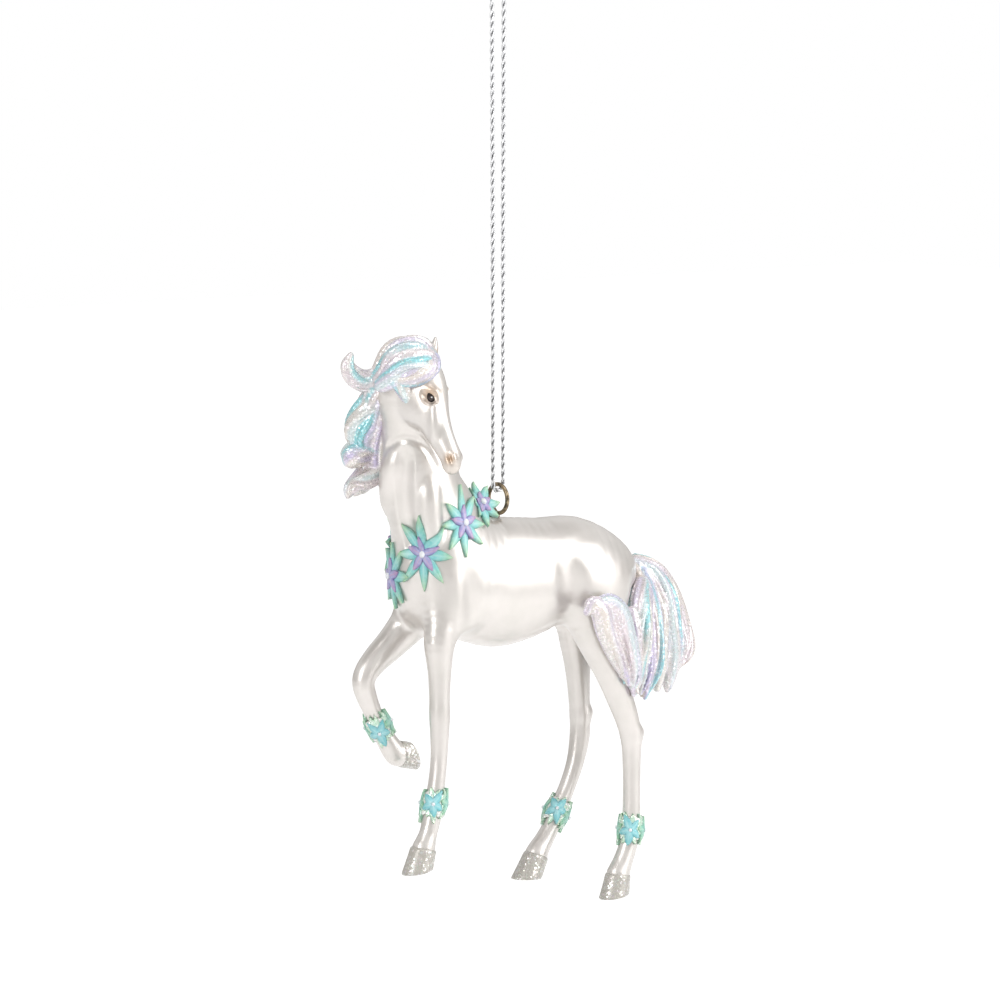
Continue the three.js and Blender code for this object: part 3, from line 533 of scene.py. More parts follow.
class Recipe(Nodes):
    """A material under construction."""

    def __init__(self, name: str) -> None:
        """Starts a node material.

        Args:
            name: The material's name.
        """
        self.material = bpy.data.materials.new(name)
        self.material.use_nodes = True
        super().__init__(self.material.node_tree)
        self.shader = self.tree.nodes["Principled BSDF"]

    def shade(self, **values: object) -> None:
        """Feeds the surface shader's inputs; an underscore stands for a space."""
        for key, value in values.items():
            self.feed(self.shader.inputs[key.replace("_", " ")], value)

    def place(self) -> bpy.types.NodeSocket:
        """Object coordinates in metres."""
        return self.node("TexCoord").outputs["Object"]

    def paint(self) -> bpy.types.NodeSocket:
        """The colour painted on the mesh."""
        return self.node("Attribute", attribute_name="paint").outputs["Color"]

    def noise(self, scale: float, detail: float = 3.0) -> bpy.types.NodeSocket:
        """Noise of the given scale per metre."""
        return self.node("TexNoise", {"Vector": self.place(), "Scale": scale, "Detail": detail}
                         ).outputs["Fac"]

    def bump(self, height: bpy.types.NodeSocket, strength: float, deep: float
             ) -> bpy.types.NodeSocket:
        """A normal roughened by a height, as deep as given in metres."""
        return self.node("Bump", {"Height": height, "Strength": strength, "Distance": deep}
                         ).outputs["Normal"]

    def turned(self, kind: str, vector: bpy.types.NodeSocket, other: object = None
               ) -> bpy.types.NodeSocket:
        """A vector after one step of vector arithmetic.

        Args:
            kind: The step.
            vector: The vector.
            other: Another vector or a scale.
        Returns:
            The new vector.
        """
        links = {0: vector}
        if other is not None:
            links["Scale" if kind == "SCALE" else 1] = other
        return self.node("VectorMath", links, operation=kind).outputs[0]


def rgba(colour: Colour) -> tuple[float, float, float, float]:
    """A colour with full cover."""
    return (*colour, 1.0)


WHITE = rgba((1.0, 1.0, 1.0))


def screen(red: int, green: int, blue: int) -> Colour:
    """A colour as it shows on screen, 0 to 255, as linear light."""
    shares = [v / 255 for v in (red, green, blue)]
    return tuple(c / 12.92 if c <= 0.04045 else ((c + 0.055) / 1.055) ** 2.4 for c in shares)


@dataclass(frozen=True)
class PearlCoat:
    """Satin pearl lacquer over white resin, warmed where the paint attribute says."""

    colour: Colour = field(default_factory=lambda: screen(208, 204, 199))
    metallic: float = 0.6
    roughness: float = 0.33
    cloud: Colour = field(default_factory=lambda: screen(217, 212, 208))
    coat: float = 0.3

    def material(self) -> bpy.types.Material:
        """Makes the material.

        Returns:
            The finished material.
        """
        r = Recipe("pearl_coat")
        share = r.span(r.noise(220.0), 0.3, 0.7, 0.0, 1.0)
        pearl = r.mix(share, rgba(self.colour), rgba(self.cloud))
        r.shade(
            Base_Color=r.mix(1.0, pearl, r.paint(), "MULTIPLY"),
            Metallic=self.metallic,
            Roughness=r.span(r.noise(900.0), 0.3, 0.7, self.roughness - 0.04,
                             self.roughness + 0.05),
            Coat_Weight=self.coat,
            Coat_Roughness=0.16,
        )
        return r.material


@dataclass(frozen=True)
class GlitterCoat:
    """Clear lacquer full of fine flakes over a painted ground."""

    name: str
    flakes_per_metre: float = 5200.0
    flake_share: float = 0.3
    scatter: float = 0.4
    roughness: float = 0.32

    def material(self) -> bpy.types.Material:
        """Makes the material.

        Returns:
            The finished material.
        """
        r = Recipe(self.name)
        cells = r.node("TexVoronoi", {"Vector": r.place(), "Scale": self.flakes_per_metre})
        tint = cells.outputs["Color"]
        parts = r.node("SeparateColor", {"Color": tint})
        is_flake = r.node("Math", {0: parts.outputs["Red"], 1: 1.0 - self.flake_share},
                          operation="GREATER_THAN").outputs[0]
        hue = r.node("HueSaturation", {"Hue": parts.outputs["Green"], "Saturation": 1.0,
                                       "Value": 1.0, "Color": rgba((0.95, 0.62, 0.86))})
        flake = r.mix(0.55, hue.outputs["Color"], WHITE)
        tilt = r.turned("SUBTRACT", tint, (0.5, 0.5, 0.5))
        tilt = r.turned("SCALE", tilt, self.scatter)
        held = r.turned("SCALE", tilt, is_flake)
        normal = r.turned("ADD", r.node("NewGeometry").outputs["Normal"], held)
        r.shade(
            Base_Color=r.mix(r.span(is_flake, 0.0, 1.0, 0.0, 0.35), r.paint(), flake),
            Metallic=r.span(is_flake, 0.0, 1.0, 0.15, 0.55),
            Roughness=r.span(is_flake, 0.0, 1.0, self.roughness, 0.18),
            Coat_Weight=0.4,
            Coat_Roughness=0.15,
            Normal=r.turned("NORMALIZE", normal),
        )
        return r.material


@dataclass(frozen=True)
class HandPaint:
    """Semi-gloss hand-laid paint in the colours painted on the mesh, with faint brush marks."""

    name: str
    roughness: float = 0.38

    def material(self) -> bpy.types.Material:
        """Makes the material.

        Returns:
            The finished material.
        """
        r = Recipe(self.name)
        marks = r.span(r.noise(1800.0), 0.3, 0.7, 0.0, 1.0)
        r.shade(
            Base_Color=r.mix(r.span(marks, 0.0, 1.0, 0.0, 0.22), r.paint(),
                             rgba((0.92, 0.95, 0.93))),
            Roughness=r.span(marks, 0.0, 1.0, self.roughness - 0.06, self.roughness + 0.08),
            Coat_Weight=0.25,
            Coat_Roughness=0.2,
            Normal=r.bump(marks, 0.2, 0.06 * MM),
        )
        return r.material


@dataclass(frozen=True)
class BronzeWire:
    """Dull gilt bronze with darker tarnish."""

    light: Colour = (0.37, 0.29, 0.19)
    dark: Colour = (0.11, 0.088, 0.062)

    def material(self) -> bpy.types.Material:
        """Makes the material.

        Returns:
            The finished material.
        """
        r = Recipe("bronze_wire")
        tarnish = r.span(r.noise(1500.0), 0.38, 0.62, 0.0, 1.0)
        r.shade(
            Base_Color=r.mix(tarnish, rgba(self.light), rgba(self.dark)),
            Metallic=1.0,
            Roughness=r.span(tarnish, 0.0, 1.0, 0.24, 0.42),
            Normal=r.bump(r.noise(5000.0), 0.15, 0.05 * MM),
        )
        return r.material


@dataclass(frozen=True)
class FoilYarn:
    """Silver foil wound on yarn, with a painted highlight on its crowns and painted shade in its
    grooves.
    """

    # light is the painted highlight on the crowns, dark the painted shade in the grooves
    light: Colour = (0.93, 0.94, 0.95)
    dark: Colour = (0.46, 0.46, 0.48)

    def material(self) -> bpy.types.Material:
        """Makes the material.

        Returns:
            The finished material.
        """
        r = Recipe("metallic_cord")
        # this noise raises the bump and also paints shade in its hollows and a highlight on its
        # crowns
        wraps = r.span(r.noise(6500.0, 1.0), 0.35, 0.65, 0.0, 1.0)
        ground = r.mix(wraps, rgba(self.dark), rgba(self.light))
        r.shade(
            # the paint attribute multiplies in the painted shade between the plies
            Base_Color=r.mix(1.0, ground, r.paint(), "MULTIPLY"),
            Metallic=0.85,
            Roughness=0.32,
            Normal=r.bump(wraps, 0.5, 0.08 * MM),
        )
        return r.material


@dataclass(frozen=True)
class GlossPaint:
    """Wet-looking paint in the colours on the mesh, for the eyes."""

    name: str

    def material(self) -> bpy.types.Material:
        """Makes the material.

        Returns:
            The finished material.
        """
        r = Recipe(self.name)
        r.shade(Base_Color=r.mix(r.span(r.noise(3000.0), 0.4, 0.7, 0.0, 0.25), r.paint(),
                                 rgba((0.05, 0.02, 0.01))),
                Roughness=0.45, Specular_IOR_Level=0.25, Coat_Weight=0.12,
                Coat_Roughness=0.06)
        return r.material


# ---- The casting ----

TRUNK: list[Row] = [
    (-16.6, 0, -13.4, 2.1, 1.5), (-15.6, 0, -13.4, 5.3, 3.5), (-13.4, 0, -13.5, 7.6, 5.1),
    (-10.3, 0, -13.6, 8.6, 6.4), (-6.0, 0, -14.3, 9.1, 7.0), (-1, 0, -15.0, 9.8, 7.1),
    (4.0, 0, -14.9, 9.3, 7.2), (9.0, 0, -14.2, 8.3, 7.2), (14.0, 0, -14.2, 8.1, 7.0),
    (18.0, 0, -14.7, 6.8, 6.4), (21.2, 0, -15.1, 5.1, 4.9), (23.4, 0, -15.4, 3.0, 2.8),
    (24.4, 0, -15.6, 1.3, 1.2),
]
NECK: list[Row] = [
    (-10.0, 0, -14.5, 7.0, 5.6, FORWARD), (-11.2, 0, -8.0, 7.4, 5.9, FORWARD),
    (-12.8, 0, -4.0, 7.1, 5.6, 183), (-14.4, 0.1, -0.7, 6.4, 5.6, 190),
    (-15.2, 0.3, 3.5, 6.3, 5.4, 205), (-16.7, 0.2, 7.4, 5.3, 4.9, 230),
    (-18.4, -0.4, 11.3, 4.7, 4.2, 258), (-19.8, -1.4, 15.0, 4.4, 3.7, 285),
    (-19.6, -2.5, 18.3, 3.6, 3.1, 298), (-18.9, -2.9, 20.0, 2.2, 2.0, 300),
]
HEAD: list[Row] = [
    (-17.6, -2.6, 21.0, 1.3, 1.3, 300), (-17.8, -3.4, 19.0, 2.3, 2.4, 300),
    (-18.0, -4.4, 16.8, 3.1, 3.0, 300), (-18.3, -5.4, 14.6, 3.25, 3.1, 300),
    (-18.7, -6.5, 12.6, 3.0, 2.7, 300), (-18.5, -7.5, 10.7, 2.45, 2.2, 300),
    (-18.2, -8.4, 8.9, 2.05, 1.85, 300), (-17.8, -9.4, 7.0, 1.75, 1.7, 300),
    (-17.4, -10.0, 5.6, 1.6, 1.75, 300), (-17.6, -10.4, 4.4, 1.3, 1.45, 300),
    (-17.7, -10.6, 3.6, 0.6, 0.8, 300),
]
EARS: list[list[Row]] = [
    [
        (-17.6, -4.3, 18.9, 0.8, 0.9, 300), (-17.8, -4.5, 20.8, 0.7, 0.8, 300),
        (-17.9, -4.3, 22.6, 0.2, 0.25, 300),
    ],
    [
        (-15.9, -3.4, 18.9, 0.8, 0.9, 300), (-14.8, -2.9, 20.9, 0.7, 0.75, 300),
        (-14.1, -2.5, 22.6, 0.2, 0.25, 300),
    ],
]


@dataclass(frozen=True)
class Limb:
    """One leg: its stations and where its cuff and sole are.

    A row is x, share of the spread, z, half-depth and half-width. The leans are degrees that the
    toe's end of the sole and of the coronet dips.
    """

    spread: float
    rows: tuple[Row, ...]
    cuff: int
    sole: tuple[float, float]
    lean: float
    crown: float

    def stations(self) -> list[Row]:
        """The leg's stations with their headings."""
        return headed([(x, share * self.spread, z, deep, wide)
                       for x, share, z, deep, wide in self.rows])

    def cuff_frame(self) -> tuple[np.ndarray, np.ndarray, float, float]:
        """Finds the leg at its cuff.

        Returns:
            Middle and direction of the leg, its half-depth and half-width.
        """
        fine = spline(self.stations(), 2)
        i = 2 * self.cuff
        return fine[i, :3], unit(fine[i + 1, :3] - fine[i - 1, :3]), fine[i, 3], fine[i, 4]


LIMBS: dict[Leg, Limb] = {
    Leg.FRONT_LEFT: Limb(-4.4, (
        (-12.2, 0.73, -14.5, 4.2, 2.6), (-13.7, 0.92, -19.0, 3.4, 2.4),
        (-15.0, 1, -22.7, 2.5, 2.05), (-15.0, 1, -27.0, 1.85, 1.65), (-15.0, 1, -30.8, 1.6, 1.5),
        (-15.0, 1, -33.3, 1.65, 1.5), (-15.0, 1, -36.3, 1.45, 1.35), (-15.1, 1, -39.6, 1.3, 1.2),
        (-15.5, 1, -43.0, 1.3, 1.25), (-16.1, 1, -46.6, 1.45, 1.3), (-16.6, 1, -48.9, 1.45, 1.35),
        (-17.2, 1, -50.9, 1.4, 1.3), (-17.8, 1, -52.4, 1.65, 1.5), (-18.1, 1, -53.1, 1.85, 1.6),
    ), 9, (-19.3, -56.4), 8.0, -14.0),
    Leg.FRONT_RIGHT: Limb(4.4, (
        (-11.0, 0.77, -15.0, 4.2, 2.5), (-13.0, 0.93, -19.6, 3.4, 2.35),
        (-16.5, 1, -23.0, 2.6, 2.05), (-19.8, 1, -25.4, 2.15, 1.85), (-21.8, 1, -27.3, 1.9, 1.7),
        (-22.4, 1, -29.0, 1.75, 1.6), (-21.8, 1, -31.0, 1.6, 1.5), (-20.7, 1, -33.3, 1.4, 1.35),
        (-19.5, 1, -35.5, 1.45, 1.35), (-18.5, 1, -37.2, 1.5, 1.4), (-17.3, 1, -38.9, 1.7, 1.5),
        (-16.3, 1, -40.0, 1.85, 1.6), (-15.6, 1, -40.2, 1.9, 1.65),
    ), 8, (-13.4, -40.5), 110.0, 92.0),
    Leg.HIND_LEFT: Limb(-4.6, (
        (16.2, 0.78, -15.0, 5.8, 3.0), (15.6, 0.93, -20.5, 5.2, 3.0), (16.8, 1, -24.8, 4.2, 2.6),
        (18.5, 1, -29.2, 3.0, 2.1), (20.2, 1, -33.6, 2.25, 1.8), (21.8, 1, -37.3, 1.95, 1.65),
        (22.7, 1, -40.6, 1.7, 1.5), (22.8, 1, -44.8, 1.45, 1.3), (22.8, 1, -49.4, 1.4, 1.3),
        (22.7, 1, -54.2, 1.5, 1.35), (22.1, 1, -57.0, 1.5, 1.35), (21.1, 1, -59.3, 1.6, 1.45),
        (20.4, 1, -60.6, 1.8, 1.55), (20.1, 1, -61.2, 1.9, 1.65),
    ), 9, (19.3, -64.5), 8.0, -8.0),
    Leg.HIND_RIGHT: Limb(4.6, (
        (18.3, 0.78, -15.5, 5.2, 3.0), (19.4, 0.93, -21.0, 4.1, 2.8), (19.6, 1, -25.5, 3.1, 2.3),
        (19.8, 1, -30.0, 2.15, 1.85), (20.1, 1, -34.6, 1.75, 1.6), (20.3, 1, -38.3, 1.65, 1.5),
        (20.2, 1, -41.2, 1.65, 1.45), (19.3, 1, -45.0, 1.4, 1.3), (17.6, 1, -48.8, 1.3, 1.25),
        (15.6, 1, -52.2, 1.45, 1.35), (14.5, 1, -54.3, 1.4, 1.3), (13.1, 1, -56.3, 1.5, 1.4),
        (11.9, 1, -57.8, 1.75, 1.55), (11.5, 1, -58.5, 1.9, 1.65),
    ), 9, (9.5, -61.9), -2.0, -22.0),
}


@dataclass(frozen=True)
class Muscle:
    """A swell or hollow on both sides of the horse.

    The half sizes run along its rise, across the horse and square to both.
    """

    at: Row
    half: Row
    rise: float
    fillet: float
    hollow: bool = False


@dataclass(frozen=True)
class Crease:
    """A soft groove or ridge along the coat: its points, half width and fillet."""

    points: tuple[Row, ...]
    half: float
    fillet: float
    hollow: bool = True


CREASES: tuple[Crease, ...] = (
    # down the side of the neck
    Crease(((-20.9, -3.7, 5.6), (-21.0, -3.3, 1.8), (-20.7, -2.8, -1.9), (-19.8, -2.6, -5.7),
            (-19.2, -2.8, -9.0)), 0.75, 1.4),
    # throat
    Crease(((-21.9, 0.2, 4.6), (-22.0, -0.7, 6.3), (-21.8, -2.5, 7.5), (-20.8, -4.0, 7.9),
            (-19.4, -4.8, 7.5), (-17.8, -5.25, 6.4), (-16.0, -5.6, 3.5)), 0.4, 0.6),
    # front of the neck and the muscle behind its groove
    Crease(((-20.7, -0.9, 5.4), (-20.4, 0.5, 1.6), (-19.0, 2.1, -3.0)), 0.65, 1.8, False),
    Crease(((-17.0, -4.4, 1.1), (-16.8, -4.2, -3.4), (-16.2, -4.2, -7.9)), 0.7, 1.8, False),
)


MUSCLES: tuple[Muscle, ...] = (
    Muscle((-12.2, 3.9, -14.0), (6.3, 2.0, 2.8), 70, 3.0),
    Muscle((15.0, 4.7, -16.6), (6.0, 2.4, 4.8), 60, 3.0),
    Muscle((8.2, 9.0, -15.0), (5.5, 2.0, 1.7), 80, 2.5, hollow=True),
    Muscle((-10.6, 8.3, -17.5), (5.0, 1.3, 1.2), 80, 2.0, hollow=True),
)


@dataclass(frozen=True)
class Feature:
    """A swell or hollow on both sides of the face.

    It lies forward and to the side of a centre in the head, at a height, and its half sizes run
    along its rise, across the head and square to both.
    """

    forward: float
    side: float
    height: float
    centre: tuple[float, float]
    half: Row
    rise: float
    fillet: float
    hollow: bool = False


FEATURES: tuple[Feature, ...] = (
    # cheek and cheekbone
    Feature(-0.9, 1.5, 13.0, (-18.3, -5.6), (2.5, 1.5, 2.7), 0, 1.2),
    Feature(1.0, 1.9, 11.2, (-18.6, -7.2), (0.5, 0.5, 2.6), 0, 0.9),
    # eye socket and brow
    Feature(1.65, 3.0, 14.5, (-18.3, -5.4), (1.1, 0.55, 0.8), -35, 0.8, hollow=True),
    Feature(1.7, 2.3, 15.5, (-18.2, -5.1), (1.2, 0.6, 0.45), -20, 0.7),
    # nostril and its rim
    Feature(0.75, 1.75, 5.5, (-17.5, -9.9), (0.34, 0.6, 0.7), 20, 0.3, hollow=True),
    Feature(1.1, 1.35, 5.7, (-17.5, -9.9), (0.35, 0.4, 0.75), 20, 0.5),
)


# where the pearl is shaded: centre, size and strength; eyes, nostrils and ears, then the muzzle
TAN_SPOTS: tuple[tuple[Row, float, float], ...] = (
    ((-19.9, -8.2, 14.9), 1.5, 0.75), ((-14.9, -5.4, 14.9), 1.5, 0.75),
    ((-18.7, -11.3, 5.5), 0.8, 0.9), ((-15.6, -9.6, 5.5), 0.8, 0.9),
    ((-17.9, -5.2, 20.6), 1.1, 0.55), ((-14.9, -3.8, 20.6), 0.9, 0.4),
)
MUZZLE: tuple[Row, float, float] = ((-17.6, -10.3, 3.9), 2.6, 0.6)


@dataclass
class Casting:
    """The horse itself, one smooth casting."""

    step: float = 0.2
    low: Row = (-27.0, -13.5, -66.0)
    high: Row = (28.0, 9.5, 24.5)
    trunk_soft: float = 3.5
    limb_soft: float = 2.2
    head_soft: float = 1.6
    small_soft: float = 0.5
    tree: BVHTree | None = None

    # the station at each hock, and half the size of its point
    HOCKS = ((Leg.HIND_LEFT, 6), (Leg.HIND_RIGHT, 5))
    HOCK = (0.95, 0.9, 1.5)

    def model(self) -> tuple[np.ndarray, np.ndarray]:
        """Presses the whole horse into clay.

        Returns:
            Points and faces of its surface.
        """
        clay = Clay(self.low, self.high, self.step)
        clay.limb(headed(TRUNK), self.small_soft, 3)
        clay.limb(NECK, self.trunk_soft)
        for limb in LIMBS.values():
            clay.limb(limb.stations(), self.limb_soft, 4)
        self.muscles(clay)
        clay.limb(HEAD, self.head_soft)
        self.face(clay)
        for ear in EARS:
            clay.limb(ear, self.small_soft, 6)
        return clay.skin()

    def muscles(self, clay: Clay) -> None:
        """Adds the swell of the shoulders, haunches and joints, and the hollow flank.

        Args:
            clay: The block with trunk, neck and legs.
        """
        for muscle in MUSCLES:
            x, y, z = muscle.at
            for side in (-1, 1):
                clay.blob((x, side * y, z), muscle.half, FORWARD, muscle.rise, muscle.fillet,
                          muscle.hollow)
        for leg, hock in self.HOCKS:
            x, y, z = LIMBS[leg].stations()[hock][:3]
            clay.blob((x + 0.75, y, z + 0.8), self.HOCK, FORWARD, 80, 1.4)
        for crease in CREASES:
            line = spline(crease.points, 6)
            t = np.linspace(0, 1, len(line))
            radii = crease.half * (0.45 + 0.55 * np.sin(np.pi * t) ** 0.5)
            clay.strand(line, radii, crease.fillet, crease.hollow)

    def face(self, clay: Clay) -> None:
        """Adds cheeks, cheekbones, sockets, brows and nostrils.

        Args:
            clay: The block with the head.
        """
        turn = math.radians(HEAD_TURN)
        ahead = np.array([math.cos(turn), math.sin(turn), 0.0]).round(3)
        right = np.array([ahead[1], -ahead[0], 0.0])
        for side in (-1, 1):
            for part in FEATURES:
                x, y, _ = (np.array([*part.centre, 0.0]) + ahead * part.forward
                           + right * side * part.side)
                clay.blob((x, y, part.height), part.half, HEAD_TURN, part.rise, part.fillet,
                          part.hollow)

    def paint(self, points: np.ndarray) -> np.ndarray:
        """Tan shading round the eyes, nostrils, mouth and ears.

        Args:
            points: The surface's points.
        Returns:
            A colour to multiply the pearl by at each point.
        """
        tan, warm = np.array(screen(214, 178, 138)), np.array(screen(242, 232, 220))
        share = np.zeros(len(points))
        for centre, size, strength in TAN_SPOTS:
            gap = np.linalg.norm(points - np.array(centre), axis=1) / size
            share = np.maximum(share, strength * np.exp(-gap * gap))
        centre, size, strength = MUZZLE
        gap = np.linalg.norm(points - np.array(centre), axis=1) / size
        cast = (strength * np.exp(-gap * gap))[:, None]
        colour = 1.0 + (warm - 1.0) * cast
        return colour + (tan - colour) * share[:, None]

    def build(self) -> bpy.types.Object:
        """Builds, paints and dresses the casting.

        Returns:
            The casting.
        """
        points, faces = self.model()
        piece = build_object("pearl_horse", points, faces, Body.HORSE,
                             PearlCoat().material(), "horse_body", self.paint(points))
        self.tree = BVHTree.FromPolygons([tuple(p) for p in points], faces.tolist())
        log.info("casting: %d points", len(points))
        return piece


# ---- Hair ----


@dataclass(frozen=True)
class Lock:
    """A lock of hair: its stations, how far its strands wind round it, and how many there are."""

    rows: tuple[Row, ...]
    wind: float = 1.0
    strands: int = 15


@dataclass
class Hair:
    """A moulded mass of hair, made of locks whose strands leave grooves between them."""

    name: str
    node: str
    locks: tuple[Lock, ...]
    seed: int
    ragged: float = 0.0
    step: float = 0.15
    material: bpy.types.Material | None = None

    COLOURS = (screen(226, 222, 218), screen(222, 212, 216), screen(214, 206, 224),
               screen(228, 219, 212), screen(208, 222, 224), screen(140, 206, 212),
               screen(196, 186, 218))
    SHARES = (0.26, 0.16, 0.12, 0.18, 0.12, 0.10, 0.06)
    PER_SPAN = 5
    DRIFT, SWAY = 0.55, 0.35
    THIN, THICK = 0.15, 0.24
    TAPER, SHORTEST = 0.14, 0.1
    FINEST, SPENT = 0.1, 0.02
    CORE, MARGIN = 0.88, 2.6
    NEAREST, FADE = 5, 0.12

    def strands(self) -> list[tuple[np.ndarray, np.ndarray, Colour]]:
        """Lays the strands round their locks.

        Returns:
            Line, radii and colour of each strand.
        """
        rng = np.random.default_rng(self.seed)
        made = []
        for lock in self.locks:
            fine = spline(headed(lock.rows), self.PER_SPAN)
            t = np.linspace(0, 1, len(fine))
            tangent = np.gradient(fine[:, :3], axis=0)
            axes = [heading_axes(unit(a), h) for a, h in zip(tangent, fine[:, 5])]
            depth, across = (np.array([pair[i] for pair in axes]) for i in range(2))
            deep, wide = (np.maximum(fine[:, i:i + 1], self.ragged) for i in (3, 4))
            size = np.sqrt(deep * wide)[:, 0]
            drift = self.ragged * self.DRIFT * np.sin(2.3 * math.pi * t + rng.uniform(0, 6))
            line = fine[:, :3] + across * (drift * np.clip(4 * t, 0, 1))[:, None]
            for k in range(lock.strands):
                sway = self.SWAY * np.sin(4.2 * t + rng.uniform(0, 6))
                angle = 2 * math.pi * (k + rng.uniform(-0.3, 0.3)) / lock.strands + lock.wind * t
                angle = angle + sway
                swing = 0.85 + 0.06 * np.sin(6 * t + rng.uniform(0, 6))
                off = (depth * deep * (swing * np.cos(angle))[:, None]
                       + across * wide * (swing * np.sin(angle))[:, None])
                end = 1.0 - self.SHORTEST * self.ragged * rng.uniform(0, 1)
                taper = (np.clip((end - t) / self.TAPER, 0.0, 1.0) ** 0.5 if self.ragged
                         else 1.0)
                radius = np.maximum(size * rng.uniform(self.THIN, self.THICK) * taper,
                                    self.FINEST)
                if self.ragged:
                    radius = np.where(t > end, self.SPENT, radius)
                colour = self.COLOURS[int(rng.choice(len(self.COLOURS), p=self.SHARES))]
                made.append((line + off, radius, colour))
        return made

    def tint(self, points: np.ndarray, strands: list[tuple[np.ndarray, np.ndarray, Colour]]
             ) -> np.ndarray:
        """Colours of the surface, taken from its nearest strands.

        Args:
            points: The surface's points.
            strands: Lines, radii and colours.
        Returns:
            A colour for each point.
        """
        samples = np.vstack([line for line, _, _ in strands])
        sizes = np.concatenate([radii for _, radii, _ in strands])
        colours = np.vstack([np.broadcast_to(c, (len(line), 3)) for line, _, c in strands])
        tree = KDTree(len(samples))
        for i, p in enumerate(samples):
            tree.insert(p, i)
        tree.balance()
        paint = np.zeros((len(points), 3))
        for i, p in enumerate(points):
            near = tree.find_n(p, self.NEAREST)
            weights = np.array([math.exp(-(d - sizes[j]) / self.FADE) for _, j, d in near])
            paint[i] = (weights[:, None] * colours[[j for _, j, _ in near]]).sum(0) / weights.sum()
        return paint

    def build(self) -> bpy.types.Object:
        """Presses the locks and their strands into clay and paints the surface.

        Returns:
            The piece of hair.
        """
        strands = self.strands()
        every = np.vstack([line for line, _, _ in strands])
        clay = Clay(tuple(every.min(0) - self.MARGIN), tuple(every.max(0) + self.MARGIN),
                    self.step)
        for lock in self.locks:
            core = [(x, y, z, self.CORE * deep, self.CORE * wide, turn)
                    for x, y, z, deep, wide, turn in headed(lock.rows)]
            clay.limb(core, 0.9, self.PER_SPAN)
        for line, radii, _ in strands:
            clay.strand(line, radii, 0.12)
        points, faces = clay.skin()
        piece = build_object(self.name, points, faces, Body.HORSE, self.material,
                             self.node, self.tint(points, strands))
        log.info("%s: %d points", self.name, len(points))
        return piece


MANE = (
    # crest, from the poll round the far side of the neck to the withers
    Lock((
        (-16.4, -2.4, 20.4, 1.4, 1.5, 300), (-18.2, -1.6, 20.9, 2.1, 2.2, 300),
        (-19.9, -0.8, 20.0, 2.5, 2.5, 300), (-21.0, 0.2, 17.5, 2.2, 2.4, 300),
        (-22.1, 1.2, 14.1, 2.2, 2.2, 280), (-22.2, 1.8, 10.5, 2.0, 2.1, 260),
        (-21.3, 2.8, 7.0, 1.9, 2.0, 240), (-19.6, 3.6, 3.6, 1.7, 1.9, 220),
        (-17.0, 4.6, 0.8, 1.5, 1.8, 200), (-12.5, 5.2, -1.2, 1.2, 1.6, FORWARD),
        (-8.0, 4.2, -2.0, 0.7, 0.9, FORWARD),
    ), 1.2),
    # upswept curl
    Lock((
        (-19.8, 0, 15.5, 2.0, 2.1, 300), (-22.4, 0.6, 16.4, 1.8, 1.9, 300),
        (-24.8, 1.4, 16.5, 1.6, 1.7, 300), (-26.4, 2.0, 17.6, 1.35, 1.4, 300),
        (-26.9, 2.2, 19.0, 0.95, 1, 300), (-26.3, 2.2, 20.4, 0.4, 0.4, 300),
    ), 1.0),
    # full lock below the curl
    Lock((
        (-20.3, 0.6, 15.2, 1.8, 2.0, 290), (-22.1, 1.8, 13.2, 2.2, 2.4, 280),
        (-23.2, 2.6, 10.8, 2.4, 2.5, 270), (-23.6, 3.2, 8.3, 2.1, 2.3, 260),
        (-22.0, 3.2, 6.6, 1.1, 1.2, 250),
    ), 1.6),
    # round curl end
    Lock((
        (-19.8, 3.0, 7.4, 1.5, 1.6, 270), (-22.6, 3.6, 6.2, 1.8, 1.9, 270),
        (-24.7, 3.8, 5.1, 1.8, 2.0, 270), (-25.6, 3.8, 4.3, 0.9, 1, 270),
    ), 1.8),
    # lowest lock
    Lock((
        (-19.1, 3.4, 4.9, 1.8, 2.0, 250), (-20.8, 4.2, 2.5, 1.8, 2.1, 250),
        (-23.0, 4.6, 0.9, 1.5, 1.7, 250), (-24.7, 4.6, 0.1, 1, 1.1, 250),
        (-25.2, 4.5, -0.9, 0.4, 0.4, 250),
    ), 1.2),
    # crown, swept back over the forehead
    Lock((
        (-15.6, -3.2, 20.3, 1, 1.1, 300), (-17.9, -3.8, 21.3, 1.6, 1.7, 300),
        (-20.6, -4.2, 21.2, 1.9, 2.0, 300), (-22.1, -3.6, 20.2, 2.0, 2.1, 300),
        (-22.4, -2.4, 18.4, 1.9, 2.0, 300), (-23.3, -0.8, 16.6, 1.4, 1.5, 300),
    ), 0.9),
    # crown, lower sweep
    Lock((
        (-16.1, -4.6, 19.2, 0.9, 1, 300), (-17.8, -5.0, 19.9, 1.5, 1.5, 300),
        (-20.4, -5.4, 19.5, 1.8, 1.8, 300), (-22.3, -5.0, 18.7, 1.8, 1.8, 300),
        (-23.5, -3.8, 17.1, 1.6, 1.6, 300), (-24.2, -2.2, 15.9, 1.1, 1.2, 300),
    ), 0.9),
    # fringe over the temple
    Lock((
        (-22.8, -4.2, 17.7, 1.2, 1.2, 300), (-22.3, -4.8, 15.9, 1.3, 1.4, 300),
        (-21.6, -5.1, 14.3, 0.9, 1, 300), (-21.4, -5.2, 13.1, 0.4, 0.4, 300),
    ), 0.7),
)
FORELOCK = (
    Lock((
        (-17.6, -4.2, 20.6, 1, 1.1, 300), (-17.5, -5.5, 19.5, 1.35, 1.4, 300),
        (-18.5, -6.6, 18.4, 1.4, 1.5, 300), (-20.4, -6.4, 17.4, 1.4, 1.5, 300),
        (-22.3, -5.0, 16.9, 1.3, 1.4, 300), (-23.6, -3.4, 16.6, 0.8, 0.9, 300),
    ), 1.4),
)
